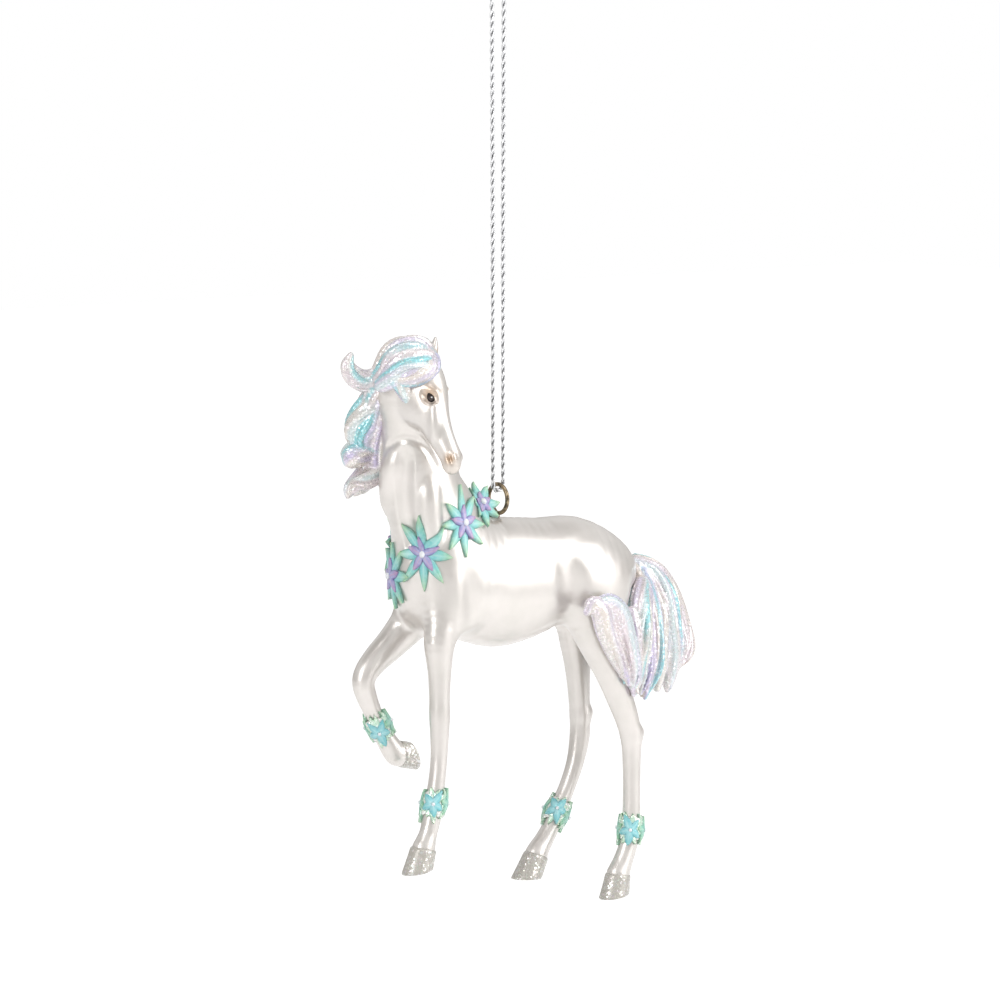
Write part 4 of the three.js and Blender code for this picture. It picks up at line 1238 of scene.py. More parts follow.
TAIL = (
    # outer sweep
    Lock((
        (27.4, 0, -14.1, 1.3, 1.5), (30.6, 0, -15.3, 1.5, 1.7), (33.2, 0, -17.6, 1.7, 1.9),
        (34.8, -0.4, -20.9, 1.9, 2.1), (35.6, -1, -25.3, 2.0, 2.2), (35.0, -1.8, -28.5, 1.9, 2.1),
        (33.0, -2.4, -30.8, 0.9, 1),
    ), 0.8),
    # second sweep
    Lock((
        (27.1, -0.6, -14.9, 1.3, 1.4), (29.0, -1.2, -15.9, 1.7, 1.8), (30.8, -1.8, -19.2, 1.9, 2.0),
        (31.7, -2.2, -23.6, 1.9, 2.0), (32.2, -2.6, -27.9, 1.8, 1.9), (31.7, -3.0, -31.6, 1.4, 1.5),
        (31.3, -3.2, -34.0, 0.5, 0.5),
    ), 0.7),
    # inner fall
    Lock((
        (27.0, -0.6, -15.5, 1.3, 1.4), (27.2, -2.2, -17.7, 1.8, 1.9), (27.3, -3.4, -21.6, 2.1, 2.2),
        (27.0, -4.2, -26.1, 2.0, 2.1), (26.5, -4.6, -30.0, 1.7, 1.8), (25.5, -4.8, -33.1, 0.9, 1),
        (25.3, -4.8, -34.5, 0.4, 0.4),
    ), 0.6),
    # fall over the thigh
    Lock((
        (25.9, -3.0, -17.2, 1.3, 1.4), (23.7, -5.2, -19.8, 1.7, 1.8), (22.4, -6.4, -23.3, 1.8, 1.9),
        (22.3, -6.6, -26.9, 1.7, 1.8), (22.0, -6.4, -30.7, 1.3, 1.4), (21.9, -6.2, -33.1, 0.4, 0.4),
    ), 0.6),
    # front lobe over the left thigh
    Lock((
        (10.3, -8.5, -19.8, 0.6, 0.6), (11.0, -9.1, -18.4, 1.1, 1.1), (12.4, -9.4, -19.7, 1.4, 1.4),
        (13.5, -9.2, -22.9, 1.5, 1.5), (15.5, -8.6, -26.2, 1.4, 1.4), (17.4, -8.0, -28.8, 0.9, 0.9),
        (18.5, -7.7, -30.4, 0.3, 0.4),
    ), 0.7),
    # between the falls
    Lock((
        (30.4, -0.3, -15.6, 1.3, 1.3), (32.6, -1.0, -18.6, 1.6, 1.6), (33.3, -1.5, -23.0, 1.7, 1.7),
        (33.5, -2.2, -28.0, 1.6, 1.6), (32.6, -2.7, -32.0, 0.8, 0.8),
    ), 0.7),
    Lock((
        (28.0, -1.4, -16.2, 1.2, 1.2), (29.2, -2.4, -20.4, 1.5, 1.5), (29.5, -3.1, -25.2, 1.7, 1.7),
        (29.2, -3.7, -30.0, 1.4, 1.4), (28.6, -3.9, -33.4, 0.7, 0.7),
    ), 0.7),
    Lock((
        (25.8, -3.6, -18.0, 1.2, 1.2), (25.0, -4.8, -22.0, 1.5, 1.5), (24.7, -5.4, -26.5, 1.5, 1.5),
        (24.1, -5.6, -30.6, 1.1, 1.1), (23.7, -5.6, -33.4, 0.5, 0.5),
    ), 0.6),
    Lock((
        (20.4, -7.3, -20.6, 1.1, 1.1), (20.6, -7.3, -24.0, 1.4, 1.4), (20.9, -7.1, -27.8, 1.3, 1.3),
        (21.3, -6.8, -31.4, 0.9, 0.9), (21.4, -6.7, -33.4, 0.5, 0.5),
    ), 0.6),
    # between the lobes
    Lock((
        (11.6, -8.5, -19.2, 0.7, 0.7), (13.1, -8.6, -19.0, 0.9, 0.9), (14.8, -8.6, -20.8, 1.1, 1.1),
        (15.9, -8.2, -23.8, 1.2, 1.2), (17.6, -7.7, -27.2, 1.1, 1.1), (19.1, -7.3, -30.2, 0.8, 0.8),
        (19.6, -7.4, -31.6, 0.4, 0.4),
    ), 0.6),
    # second lobe
    Lock((
        (12.0, -8.8, -18.4, 0.7, 0.7), (14.0, -9.1, -18.4, 1.3, 1.3), (16.1, -9.1, -20.2, 1.7, 1.7),
        (17.7, -8.5, -23.7, 1.8, 1.8), (19.4, -7.8, -27.5, 1.6, 1.6), (20.6, -7.2, -30.7, 1, 1),
        (20.7, -7.0, -32.1, 0.4, 0.4),
    ), 0.7),
)


# ---- Hooves ----


@dataclass
class Hoof:
    """A hoof cap from the coronet to a hollow sole with its frog."""

    leg: Leg
    top_deep: float = 2.05
    top_wide: float = 1.8
    sole_deep: float = 2.55
    sole_wide: float = 2.15
    sides: int = 48

    HORN, FROG = screen(184, 180, 172), screen(180, 174, 166)
    # share of the way from coronet to sole, scale, heel and sink of each outline
    CORONET = ((0.0, 0.72, 1.0, -0.1), (0.0, 0.93, 1.0, 0.02), (0.03, 0.985, 1.0),
               (0.12, 1.0, 0.98))
    WALL, WAIST = (0.25, 0.4, 0.55, 0.7, 0.85), 0.02
    SOLE = ((0.96, 1.0, 0.82), (1.0, 0.975, 0.82), (1.0, 0.86, 0.8), (1.0, 0.8, 0.8, 0.3),
            (1.0, 0.4, 0.8, 0.42))
    # forward and sideways offsets of the frog's corners
    WEDGE = ((0.9, 0.0), (-1.7, 0.85), (-1.7, 0.2), (-1.1, 0.0), (-1.7, -0.2), (-1.7, -0.85))
    FROG_LOW, FROG_HIGH = 0.12, 0.55

    def outline(self, deep: float, wide: float, heel: float) -> np.ndarray:
        """A hoof's outline as front and side offsets, squarer at the heel.

        Args:
            deep: Half its length.
            wide: Half its width.
            heel: Where its heel is cut, 1 for round.
        Returns:
            A row for each point.
        """
        angle = np.arange(self.sides) * 2 * math.pi / self.sides
        front = np.cos(angle)
        side = np.sin(angle)
        front = np.where(front < 0, np.maximum(front, -heel) + (front + heel).clip(max=0) * 0.25,
                         front)
        return np.stack([front * deep, side * wide], axis=1)

    def build(self, material: bpy.types.Material) -> bpy.types.Object:
        """Builds and dresses the hoof.

        Args:
            material: The glitter finish.
        Returns:
            The hoof.
        """
        limb = LIMBS[self.leg]
        top = np.array(limb.stations()[-1][:3])
        sole = np.array([limb.sole[0], limb.spread, limb.sole[1]])

        def ring(share: float, scale: float, heel: float, sink: float = 0.0) -> np.ndarray:
            """One outline of the cap.

            Args:
                share: Of the way from coronet to sole.
                scale: Its size.
                heel: Where its heel is cut.
                sink: How far it is set in.
            Returns:
                Its points.
            """
            ahead, down = self.leaned(limb.crown + (limb.lean - limb.crown) * share)
            deep = self.top_deep + (self.sole_deep - self.top_deep) * share
            wide = self.top_wide + (self.sole_wide - self.top_wide) * share
            shape = self.outline(deep, wide, heel) * scale
            middle = top + (sole - top) * share - down * sink
            return middle + np.outer(shape[:, 0], ahead) + np.outer(shape[:, 1], [0.0, 1.0, 0.0])

        rings = [ring(*row) for row in self.CORONET]
        rings += [ring(s, 1.0 - self.WAIST * math.sin(math.pi * s), 0.98 - 0.16 * s)
                  for s in self.WALL]
        rings += [ring(*row) for row in self.SOLE]
        points, faces = np.vstack(rings), tube_faces(len(rings), self.sides)
        turn_outward(points, faces)
        frog_points, frog_faces = self.frog(sole, limb.lean)
        return build_group(f"glitter_hoof_{self.leg.value}", [
            (points, faces, self.HORN), (frog_points, frog_faces, self.FROG),
        ], Body.HORSE, material, f"hoof_{self.leg.value}")

    @staticmethod
    def leaned(degrees: float) -> tuple[np.ndarray, np.ndarray]:
        """Ways in a hoof that leans.

        Args:
            degrees: How far its toe's end dips.
        Returns:
            The way to the toe and the way down.
        """
        lean = math.radians(degrees)
        return (np.array([-math.cos(lean), 0.0, -math.sin(lean)]),
                np.array([math.sin(lean), 0.0, -math.cos(lean)]))

    def frog(self, sole: np.ndarray, lean: float) -> tuple[np.ndarray, list[list[int]]]:
        """The wedge in the middle of the sole, its point towards the toe.

        Args:
            sole: Middle of the sole.
            lean: Degrees that it dips.
        Returns:
            Points and faces.
        """
        ahead, down = self.leaned(lean)
        side = np.array([0.0, 1.0, 0.0])
        low = [sole + ahead * a + side * b - down * self.FROG_LOW for a, b in self.WEDGE]
        high = [sole + ahead * a * 1.05 + side * b * 1.15 - down * self.FROG_HIGH
                for a, b in self.WEDGE]
        points = np.array(low + high)
        n = len(self.WEDGE)
        faces = [[i, (i + 1) % n, n + (i + 1) % n, n + i] for i in range(n)]
        faces += [[0, 3, 2, 1], [0, 5, 4, 3], [n, n + 1, n + 2, n + 3], [n, n + 3, n + 4, n + 5]]
        turn_outward(points, faces)
        return points, faces


# ---- Flowers ----


@dataclass(frozen=True)
class Blade:
    """The form of one petal or leaf and its colours from heart to tip. Its edge colour is a darker
    painted outline that also paints shade in the crevices between blades; its rib colour is a paler
    painted highlight along the midrib.
    """

    length: float
    width: float
    tip: float
    lift: float
    thick: float
    heart: Colour
    middle: Colour
    end: Colour
    edge: Colour
    rib: Colour

    def colour(self, s: float, w: float, rib: float) -> np.ndarray:
        """Its colour somewhere.

        Args:
            s: The share of the way from heart to tip.
            w: The share of the way from the middle to an edge.
            rib: How much of the raised rib is there.
        Returns:
            The colour.
        """
        k = min(2 * s, 1.0)
        colour = np.array(self.heart) * (1 - k) + np.array(self.middle) * k
        k = max(2 * s - 1, 0.0)
        colour = colour * (1 - k) + np.array(self.end) * k
        # darker towards the edges: a painted outline with painted shade in the crevices between
        # blades
        colour = colour + (np.array(self.edge) - colour) * abs(w) ** 4 * 0.8
        # paler along the midrib: a painted highlight
        return colour + (np.array(self.rib) - colour) * 0.6 * rib * (1 - 0.6 * s)


class Seat:
    """A place on the casting where a flower is laid, with its own axes."""

    RAY_UP, RAY_LONG = 6.0, 12.0
    # a blade's steps, its underside, the share of its length where it starts, its least half
    # width and its rib's width
    ALONG, ACROSS = 11, 8
    UNDERSIDE = -0.12
    ROOT = 0.08
    NARROWEST = 0.04
    RIB = 0.16

    def __init__(self, tree: BVHTree, centre: Row, out: Row, up: Row = (0.0, 0.0, 1.0),
                 stiff: float = 0.0) -> None:
        """Finds the seat on the coat below a centre.

        Args:
            tree: The coat.
            centre: A point near the coat.
            out: The way that the flower faces.
            up: The way that its first petal points.
            stiff: 0 for a flower that follows the coat, 1 for one that stays flat.
        """
        self.tree = tree
        self.out = unit(np.array(out, float))
        hit = tree.ray_cast(Vector(np.array(centre) + self.out * self.RAY_UP),
                            Vector(-self.out), self.RAY_LONG)
        self.centre = np.array(hit[0]) if hit[0] is not None else np.array(centre, float)
        up_vector = np.array(up, float)
        self.up = unit(up_vector - self.out * float(up_vector @ self.out))
        self.right = np.cross(self.up, self.out)
        self.stiff = stiff

    def on_coat(self, x: float, y: float, lift: float) -> np.ndarray:
        """The point above the coat at flat offsets x and y from the centre.

        Args:
            x: Offset to the right.
            y: Offset upwards.
            lift: Height above the coat.
        Returns:
            The point.
        """
        flat = self.centre + self.right * x + self.up * y
        place, normal, _, _ = self.tree.find_nearest(Vector(flat))
        normal = np.array(normal)
        if float(normal @ self.out) < 0:
            normal = -normal
        clear = max(float((flat - np.array(place)) @ normal), 0.0)
        facing = unit(normal * (1 - self.stiff) + self.out * self.stiff)
        return np.array(place) + normal * clear * self.stiff + facing * lift

    def blade(self, blade: Blade, angle: float, base: float, stretch: float = 1.0,
              squeeze: float = 1.0) -> tuple[np.ndarray, list[list[int]], np.ndarray]:
        """A petal or leaf laid on the coat.

        Args:
            blade: Its form.
            angle: Degrees from the right, against the clock.
            base: How high it starts above the coat.
            stretch: Its length over the usual.
            squeeze: The flower's width over its height.
        Returns:
            Points, faces and a colour for each point.
        """
        turn = math.radians(angle)
        top, under, paint = [], [], []
        for i in range(self.ALONG + 1):
            s = i / self.ALONG
            swell = math.sin(math.pi * min(0.12 + 0.88 * s, 1.0) ** blade.tip)
            half = blade.width * max(swell, 0.0) ** 0.8 + self.NARROWEST
            reach = blade.length * stretch * (self.ROOT + (1 - self.ROOT) * s)
            for j in range(self.ACROSS + 1):
                w = 2 * j / self.ACROSS - 1
                x = (reach * math.cos(turn) - w * half * math.sin(turn)) * squeeze
                y = reach * math.sin(turn) + w * half * math.cos(turn)
                rib = math.exp(-(w / self.RIB) ** 2)
                rise = blade.thick * (0.35 + 0.65 * (1 - w * w) ** 0.5 - 0.16 * rib)
                lift = base * (1 - 0.45 * s) + rise + blade.lift * s * s
                top.append(self.on_coat(x, y, lift))
                under.append(self.on_coat(x, y, self.UNDERSIDE))
                paint.append(blade.colour(s, w, rib))
        columns, count = self.ACROSS + 1, len(top)
        faces = []
        for a in (i * columns + j for i in range(self.ALONG) for j in range(self.ACROSS)):
            b = a + count
            faces.append([a, a + columns, a + columns + 1, a + 1])
            faces.append([b, b + 1, b + columns + 1, b + columns])
        rim_line = list(range(columns))
        rim_line += [i * columns + self.ACROSS for i in range(1, self.ALONG + 1)]
        rim_line += [self.ALONG * columns + j for j in range(self.ACROSS - 1, -1, -1)]
        rim_line += [i * columns for i in range(self.ALONG - 1, 0, -1)]
        for a, b in zip(rim_line, rim_line[1:] + rim_line[:1]):
            faces.append([a, b, b + count, a + count])
        points = np.array(top + under)
        turn_outward(points - points.mean(0), faces)
        return points, faces, np.vstack([paint, paint])

    def bead(self, radius: float, base: float, colour: Colour, tall: float = 1.25
             ) -> tuple[np.ndarray, list[list[int]], Colour]:
        """The oval bead at a flower's heart.

        Args:
            radius: Half its width.
            base: Height of its middle.
            colour: Its colour.
            tall: Its height over its width.
        Returns:
            Points, faces and colour.
        """
        rings, sides = 8, 14
        middle = self.on_coat(0.0, 0.0, base)
        points = [middle + self.out * radius * 0.8]
        for i in range(1, rings):
            a = math.pi * i / rings
            for k in range(sides):
                b = 2 * math.pi * k / sides
                points.append(middle + self.out * radius * 0.8 * math.cos(a)
                              + self.right * radius * math.sin(a) * math.cos(b)
                              + self.up * radius * tall * math.sin(a) * math.sin(b))
        points.append(middle - self.out * radius * 0.8)
        last = len(points) - 1
        faces = [[0, 1 + k, 1 + (k + 1) % sides] for k in range(sides)]
        for i in range(rings - 2):
            for k in range(sides):
                a, b = 1 + i * sides + k, 1 + i * sides + (k + 1) % sides
                faces.append([a, a + sides, b + sides, b])
        start = 1 + (rings - 2) * sides
        faces += [[last, start + (k + 1) % sides, start + k] for k in range(sides)]
        points = np.array(points)
        turn_outward(points - middle, faces)
        return points, faces, colour


@dataclass(frozen=True)
class Palette:
    """The flowers' hand-painted colours."""

    # each blade's last two colours are its edge, a painted outline with painted shade, and its rib,
    # a painted highlight
    leaf: Blade = Blade(5.5, 0.86, 0.72, 0.1, 0.36, screen(116, 208, 220), screen(128, 212, 208),
                        screen(174, 212, 156), screen(84, 160, 146), screen(206, 242, 234))
    lilac: Blade = Blade(2.8, 0.64, 0.92, 0.1, 0.4, screen(176, 180, 224), screen(158, 150, 206),
                         screen(188, 144, 184), screen(84, 76, 148), screen(216, 160, 190))
    turquoise: Blade = Blade(2.3, 0.6, 0.85, 0.04, 0.3, screen(150, 222, 230),
                             screen(118, 206, 214), screen(104, 196, 198), screen(44, 128, 142),
                             screen(196, 240, 240))
    sage: Blade = Blade(2.2, 0.58, 0.85, 0.04, 0.3, screen(150, 216, 206), screen(132, 202, 176),
                        screen(150, 202, 156), screen(66, 136, 108), screen(200, 234, 206))
    sprig: Blade = Blade(2.9, 0.62, 0.75, 0.06, 0.26, screen(208, 232, 224), screen(186, 224, 204),
                         screen(204, 224, 196), screen(120, 176, 148), screen(232, 244, 228))
    bead: Colour = screen(240, 243, 247)


@dataclass
class Garland:
    """The seven flowers round the base of the neck."""

    places: tuple[tuple[Row, Row, float, float], ...] = (
        ((-5.0, -3.1, -2.5), (-0.1, -0.8, 0.6), 0.68, 1.0),
        ((-11.7, -5.7, -4.9), (0.0, -0.98, 0.18), 1.0, 0.3),
        ((-17.6, -3.9, -9.2), (-0.75, -0.65, 0.06), 1.05, 0.3),
        ((-19.1, 1.2, -12.8), (-0.95, 0.28, 0.0), 1.0, 0.3),
        ((-14.5, 6.2, -8.5), (-0.31, 0.94, 0.17), 1.0, 0.3),
        ((-8.5, 5.2, -4.7), (0.29, 0.9, 0.32), 1.0, 0.3),
        ((-2.4, 3.0, -6.0), (0.18, 0.56, 0.81), 0.9, 0.3),
    )
    leaves: int = 8
    petals: int = 5
    squeeze: float = 0.8
    stand: float = 0.8

    def build(self, tree: BVHTree, palette: Palette, leaf_paint: bpy.types.Material,
              petal_paint: bpy.types.Material) -> None:
        """Lays the flowers on the coat.

        Args:
            tree: The coat.
            palette: The flowers' blades and colours.
            leaf_paint: Finish of the leaves.
            petal_paint: Finish of the petals and beads.
        """
        rng = np.random.default_rng(5)
        for number, (centre, out, size, stiff) in enumerate(self.places, 1):
            seat = Seat(tree, centre, out, stiff=stiff)
            if stiff == 1.0:
                place = tree.find_nearest(Vector(centre))[0]
                seat.centre = np.array(place) + seat.out * self.stand
            parts = []
            for k in range(self.leaves):
                angle = 90 + k * 360 / self.leaves + rng.uniform(-6, 6)
                parts.append(seat.blade(palette.leaf, angle, 0.06 + 0.1 * (k % 2),
                                        size * rng.uniform(0.88, 1.06), self.squeeze))
            build_group(f"leaf_rosette_{number}", parts, Body.HORSE, leaf_paint,
                        f"garland_leaves_{number}")
            parts = []
            for k in range(self.petals):
                angle = 90 + k * 360 / self.petals + rng.uniform(-5, 5)
                parts.append(seat.blade(palette.lilac, angle, 0.42, size * rng.uniform(0.94, 1.06),
                                        self.squeeze))
            parts.append(seat.bead(0.42, 0.95, palette.bead))
            build_group(f"lilac_blossom_{number}", parts, Body.HORSE, petal_paint,
                        f"garland_blossom_{number}")
            log.info("garland flower %d", number)


@dataclass
class Anklet:
    """A pale leaf band round an ankle with four turquoise blossoms on it."""

    leg: Leg
    height: float = 3.4
    wall: float = 0.3
    blossoms: int = 4
    petals: int = 5
    sprigs: int = 8
    sides: int = 40

    SEEDS = {leg: 11 + i for i, leg in enumerate(Leg)}
    # levels along the band, as shares of its half height, and how far out its skin is there
    PROFILE = ((-1.0, -0.05), (-1.04, 0.5), (-0.9, 0.95), (-0.45, 1.1), (0.0, 1.0), (0.45, 1.1),
               (0.9, 0.95), (1.04, 0.5), (1.0, -0.05))
    FACING = np.array([0.0, -1.0, 0.0])

    def band(self, centre: np.ndarray, along: np.ndarray, deep: float, wide: float
             ) -> tuple[np.ndarray, list[list[int]], Colour]:
        """The band itself, a ring with a scalloped skin.

        Args:
            centre: Middle of the leg.
            along: The leg's direction.
            deep: The leg's half-depth.
            wide: Its half-width.
        Returns:
            Points, faces and colour.
        """
        depth, across = heading_axes(along, FORWARD)
        points = []
        for level, out in self.PROFILE:
            for k in range(self.sides):
                a = 2 * math.pi * k / self.sides
                wave = 0.12 * math.sin(9 * a + 2.4 * level) if out > 0.9 else 0.0
                grow = 0.1 + self.wall * (out + wave)
                rise = level * self.height / 2 + 0.14 * math.sin(7 * a) * abs(level)
                points.append(centre + along * rise + depth * (deep + grow) * math.cos(a)
                              + across * (wide + grow) * math.sin(a))
        points, faces = np.array(points), tube_faces(len(self.PROFILE), self.sides, closed=True)
        turn_outward(points - centre, faces)
        return points, faces, screen(232, 234, 230)

    def build(self, tree: BVHTree, palette: Palette, band_coat: bpy.types.Material,
              petal_paint: bpy.types.Material) -> None:
        """Builds the band with its sprigs of leaves, then the blossoms on it.

        Args:
            tree: The coat.
            palette: The flowers' blades and colours.
            band_coat: Finish of the band and its leaves.
            petal_paint: Finish of the blossoms.
        """
        centre, along, deep, wide = LIMBS[self.leg].cuff_frame()
        rng = np.random.default_rng(self.SEEDS[self.leg])
        front = np.cross(self.FACING, along)
        seats = []
        for k in range(self.blossoms):
            a = (k + 0.5) * 2 * math.pi / self.blossoms
            out = unit(front * math.cos(a) + self.FACING * math.sin(a))
            place = centre + along * rng.uniform(-0.4, 0.4)
            seats.append(Seat(tree, tuple(place), tuple(out), tuple(-along)))
        parts = [self.band(centre, along, deep, wide)]
        for seat in seats:
            for k in range(self.sprigs):
                angle = (k + 0.5) * 360 / self.sprigs + rng.uniform(-14, 14)
                parts.append(seat.blade(palette.sprig, angle, 0.34, rng.uniform(0.65, 1.05), 0.75))
        name = self.leg.value
        build_group(f"leaf_band_{name}", parts, Body.HORSE, band_coat,
                    f"anklet_band_{name}")
        for number, seat in enumerate(seats, 1):
            petal = palette.sage if number % 2 else palette.turquoise
            start = rng.uniform(40, 110)
            parts = []
            for k in range(self.petals):
                angle = start + k * 360 / self.petals + rng.uniform(-9, 9)
                parts.append(seat.blade(petal, angle, 0.48, rng.uniform(0.85, 1.12), 0.8))
            parts.append(seat.bead(0.26, 0.86, palette.bead, 1.1))
            build_group(f"turquoise_blossom_{name}_{number}", parts, Body.HORSE,
                        petal_paint, f"anklet_blossom_{name}_{number}")
        log.info("anklet %s", name)


# ---- Eyes ----


@dataclass
class Eyes:
    """The painted eyes: a glossy dark almond in each socket, with a white glint painted on as a
    highlight.
    """

    centres: tuple[Row, Row] = ((-20.0, -8.43, 14.25), (-14.7, -5.3, 14.25))
    outs: tuple[Row, Row] = ((-0.80, -0.60, 0.05), (0.97, 0.2, 0.05))
    half_wide: float = 0.66
    half_tall: float = 0.78
    bulge: float = 0.2
    # where the painted white highlight sits on the eye, and its radius
    glint: Row = (0.16, 0.12, 0.12)
    rings: int = 7
    sides: int = 20

    # GLINT is the white of the painted highlight
    IRIS, RIM, GLINT = screen(36, 16, 10), screen(14, 7, 5), (1.0, 1.0, 1.0)

    def build(self, tree: BVHTree) -> None:
        """Lays both eyes on the coat.

        Args:
            tree: The coat.
        """
        material = GlossPaint("eye_paint").material()
        for name, centre, out in zip(("right_eye", "left_eye"), self.centres, self.outs):
            seat = Seat(tree, centre, out)
            points, paint = [], []
            for i in range(self.rings + 1):
                s = i / self.rings
                for k in range(self.sides):
                    a = 2 * math.pi * k / self.sides
                    x = self.half_wide * s * math.cos(a)
                    y = self.half_tall * s * math.sin(a) * (1 - 0.3 * math.cos(a)) - 0.35 * x
                    lift = 0.04 + self.bulge * math.sqrt(1 - s * s)
                    points.append(seat.on_coat(x, y, lift if s < 1 else -0.06))
                    # points inside the glint take the painted highlight's white
                    lit = math.hypot(x - self.glint[0], y - self.glint[1]) < self.glint[2]
                    paint.append(self.GLINT if lit else self.IRIS if s < 0.7 else self.RIM)
            faces = tube_faces(self.rings + 1, self.sides)
            del faces[-2]  # the first ring is one point and needs no cap
            points = np.array(points)
            turn_outward(points - points.mean(0), faces)
            build_object(name, points, faces, Body.HORSE, material,
                         paint=np.array(paint))
            log.info("%s", name)


# ---- Ring, cord and knot ----


@dataclass
class EyeScrew:
    """A wire ring whose end crosses its shank, set in the withers."""

    wire: float = 0.66
    outer: float = 5.0
    shank: float = 5.5
    cross: float = 0.34
    ends: tuple[int, int] = (-115, 230)

    def build(self) -> bpy.types.Object:
        """Builds and dresses the wire.

        Returns:
            The wire.
        """
        radius = (self.outer - self.wire) / 2
        half = (self.ends[1] - self.ends[0]) / 2
        middle = sum(self.ends) / 2

        def bend(degrees: float, shift: float) -> np.ndarray:
            """The wire's middle at some degrees round the ring."""
            a = math.radians(degrees)
            return np.array([shift, -radius * math.cos(a), radius * math.sin(a) - self.outer / 2])

        path = []
        for degrees in range(*self.ends, 5):
            past = degrees - middle
            lean = self.cross * max(0.0, (abs(past) - 120) / (half - 120))
            path.append(bend(degrees, math.copysign(lean, past)))
        foot, low = bend(self.ends[1], self.cross), self.wire / 2 - self.outer
        for share in (0.0, 0.35, 0.7):
            path.append(foot * (1 - share) + np.array([0.12, 0.0, low - 0.5]) * share)
        path += [np.array([0.0, 0.0, low - d]) for d in (0.9, 1.6, 2.6, 4.0, self.shank)]
        line = spline([tuple(p) for p in path], 3)
        points, faces = sweep(line, [self.wire / 2] * len(line), 20)
        piece = build_object("wire_eye", points, faces, Body.HORSE,
                             BronzeWire().material(), "eye_screw")
        log.info("wire eye")
        return piece


@dataclass
class CordLoop:
    """The doubled metallic cord, from knot round the ring's wire and back."""

    diameter: float = 0.7
    wire: float = 0.66
    gap: float = 0.3
    knot_rise: float = 3.0
    pitch: float = 2.6
    plies: int = 2
    ply_radius: float = 0.185
    ply_off: float = 0.175
    ply_sides: int = 8
    step: float = 0.12
    # the plies' paint is painted shade: darkest (groove) where a ply faces the cord's middle and
    # meets the other ply, full brightness on its outer crown
    groove: float = 0.42
    shade_within: float = 0.16
    fade: float = 0.17

    def route(self) -> list[Row]:
        """Rough points of the centreline.

        Returns:
            Points from the hanging point, in the cord's own plane.
        """
        bend = self.diameter / 2 + self.wire / 2 + self.gap
        height = -DROP - self.wire / 2
        side = [(-0.5, self.knot_rise), (-0.85, self.knot_rise / 2), (-1.1, -1.0),
                (-1.15, -0.08 * DROP), (-1.1, -0.2 * DROP), (-1.05, -0.36 * DROP),
                (-1.0, -0.51 * DROP), (-1.0, -0.67 * DROP), (-1.0, -0.82 * DROP),
                (-bend, 4 - DROP)]
        arc = [(bend * math.cos(math.radians(d)), height + bend * math.sin(math.radians(d)))
               for d in range(180, 361, 30)]
        return [(x, 0.0, z) for x, z in side + arc + [(-x, z) for x, z in reversed(side)]]

    def line(self) -> np.ndarray:
        """The centreline at even steps.

        Returns:
            The centreline.
        """
        fine = spline(self.route(), 40)
        gaps = np.concatenate([[0], np.cumsum(np.linalg.norm(np.diff(fine, axis=0), axis=1))])
        even = np.arange(0, gaps[-1], self.step)
        return np.stack([np.interp(even, gaps, fine[:, i]) for i in range(3)], axis=1)

    def build(self) -> None:
        line = self.line()
        material = FoilYarn().material()
        tangent = np.gradient(line, axis=0)
        tangent /= np.linalg.norm(tangent, axis=1, keepdims=True)
        side = np.broadcast_to([0.0, 1.0, 0.0], line.shape)
        other = np.cross(tangent, side)
        along = np.arange(len(line)) * self.step
        parts = []
        for ply in range(self.plies):
            turn = 2 * math.pi * (along / self.pitch + ply / self.plies)
            off = self.ply_off * (np.cos(turn)[:, None] * side + np.sin(turn)[:, None] * other)
            points, faces = sweep(line + off, [self.ply_radius] * len(line), self.ply_sides)
            away = points.reshape(len(line), self.ply_sides, 3) - line[:, None, :]
            depth = np.linalg.norm(away, axis=2).ravel()
            # painted shade: points of a ply near the cord's middle are darkened as if shadowed
            # between the plies
            crown = np.clip((depth - self.shade_within) / self.fade, 0, 1)[:, None]
            points[:, 2] += DROP
            parts.append((points, faces, self.groove + (1 - self.groove) * crown * np.ones(3)))
        cord = build_group("twisted_cord", parts, Body.LOOP, material, "cord")
        knot = self.knot(material)

    def knot(self, material: bpy.types.Material) -> bpy.types.Object:
        """An overhand knot of both ends, with two short cut tails.

        Args:
            material: The cord's finish.
        Returns:
            The knot.
        """
        t = np.linspace(0, 2 * math.pi, 90, endpoint=False)
        bottom = self.knot_rise + self.gap + DROP
        loop = np.stack([0.2232 * (np.sin(t) + 2 * np.sin(2 * t)), -0.42 * np.sin(3 * t),
                         0.3384 * (np.cos(t) - 2 * np.cos(2 * t)) + bottom + 1.7], axis=1)
        parts = [(*sweep(loop, [0.38] * len(loop), 10, closed=True), (0.9, 0.9, 0.9))]
        for s in (-1, 1):
            tail = spline([(s * 0.25, 0.1 * s, bottom + 2.2), (s * 0.4, 0.0, bottom + 3.4),
                           (s * 0.8, 0.1, bottom + 4.4), (s * 1.05, 0.2 * s, bottom + 5.0)], 6)
            parts.append((*sweep(tail, [0.3] * len(tail), 8), (0.8, 0.8, 0.8)))
        knot = build_group("cord_end_knot", parts, Body.LOOP, material, "cord_knot")
        log.info("knot")
        return knot


# ---- Studio ----


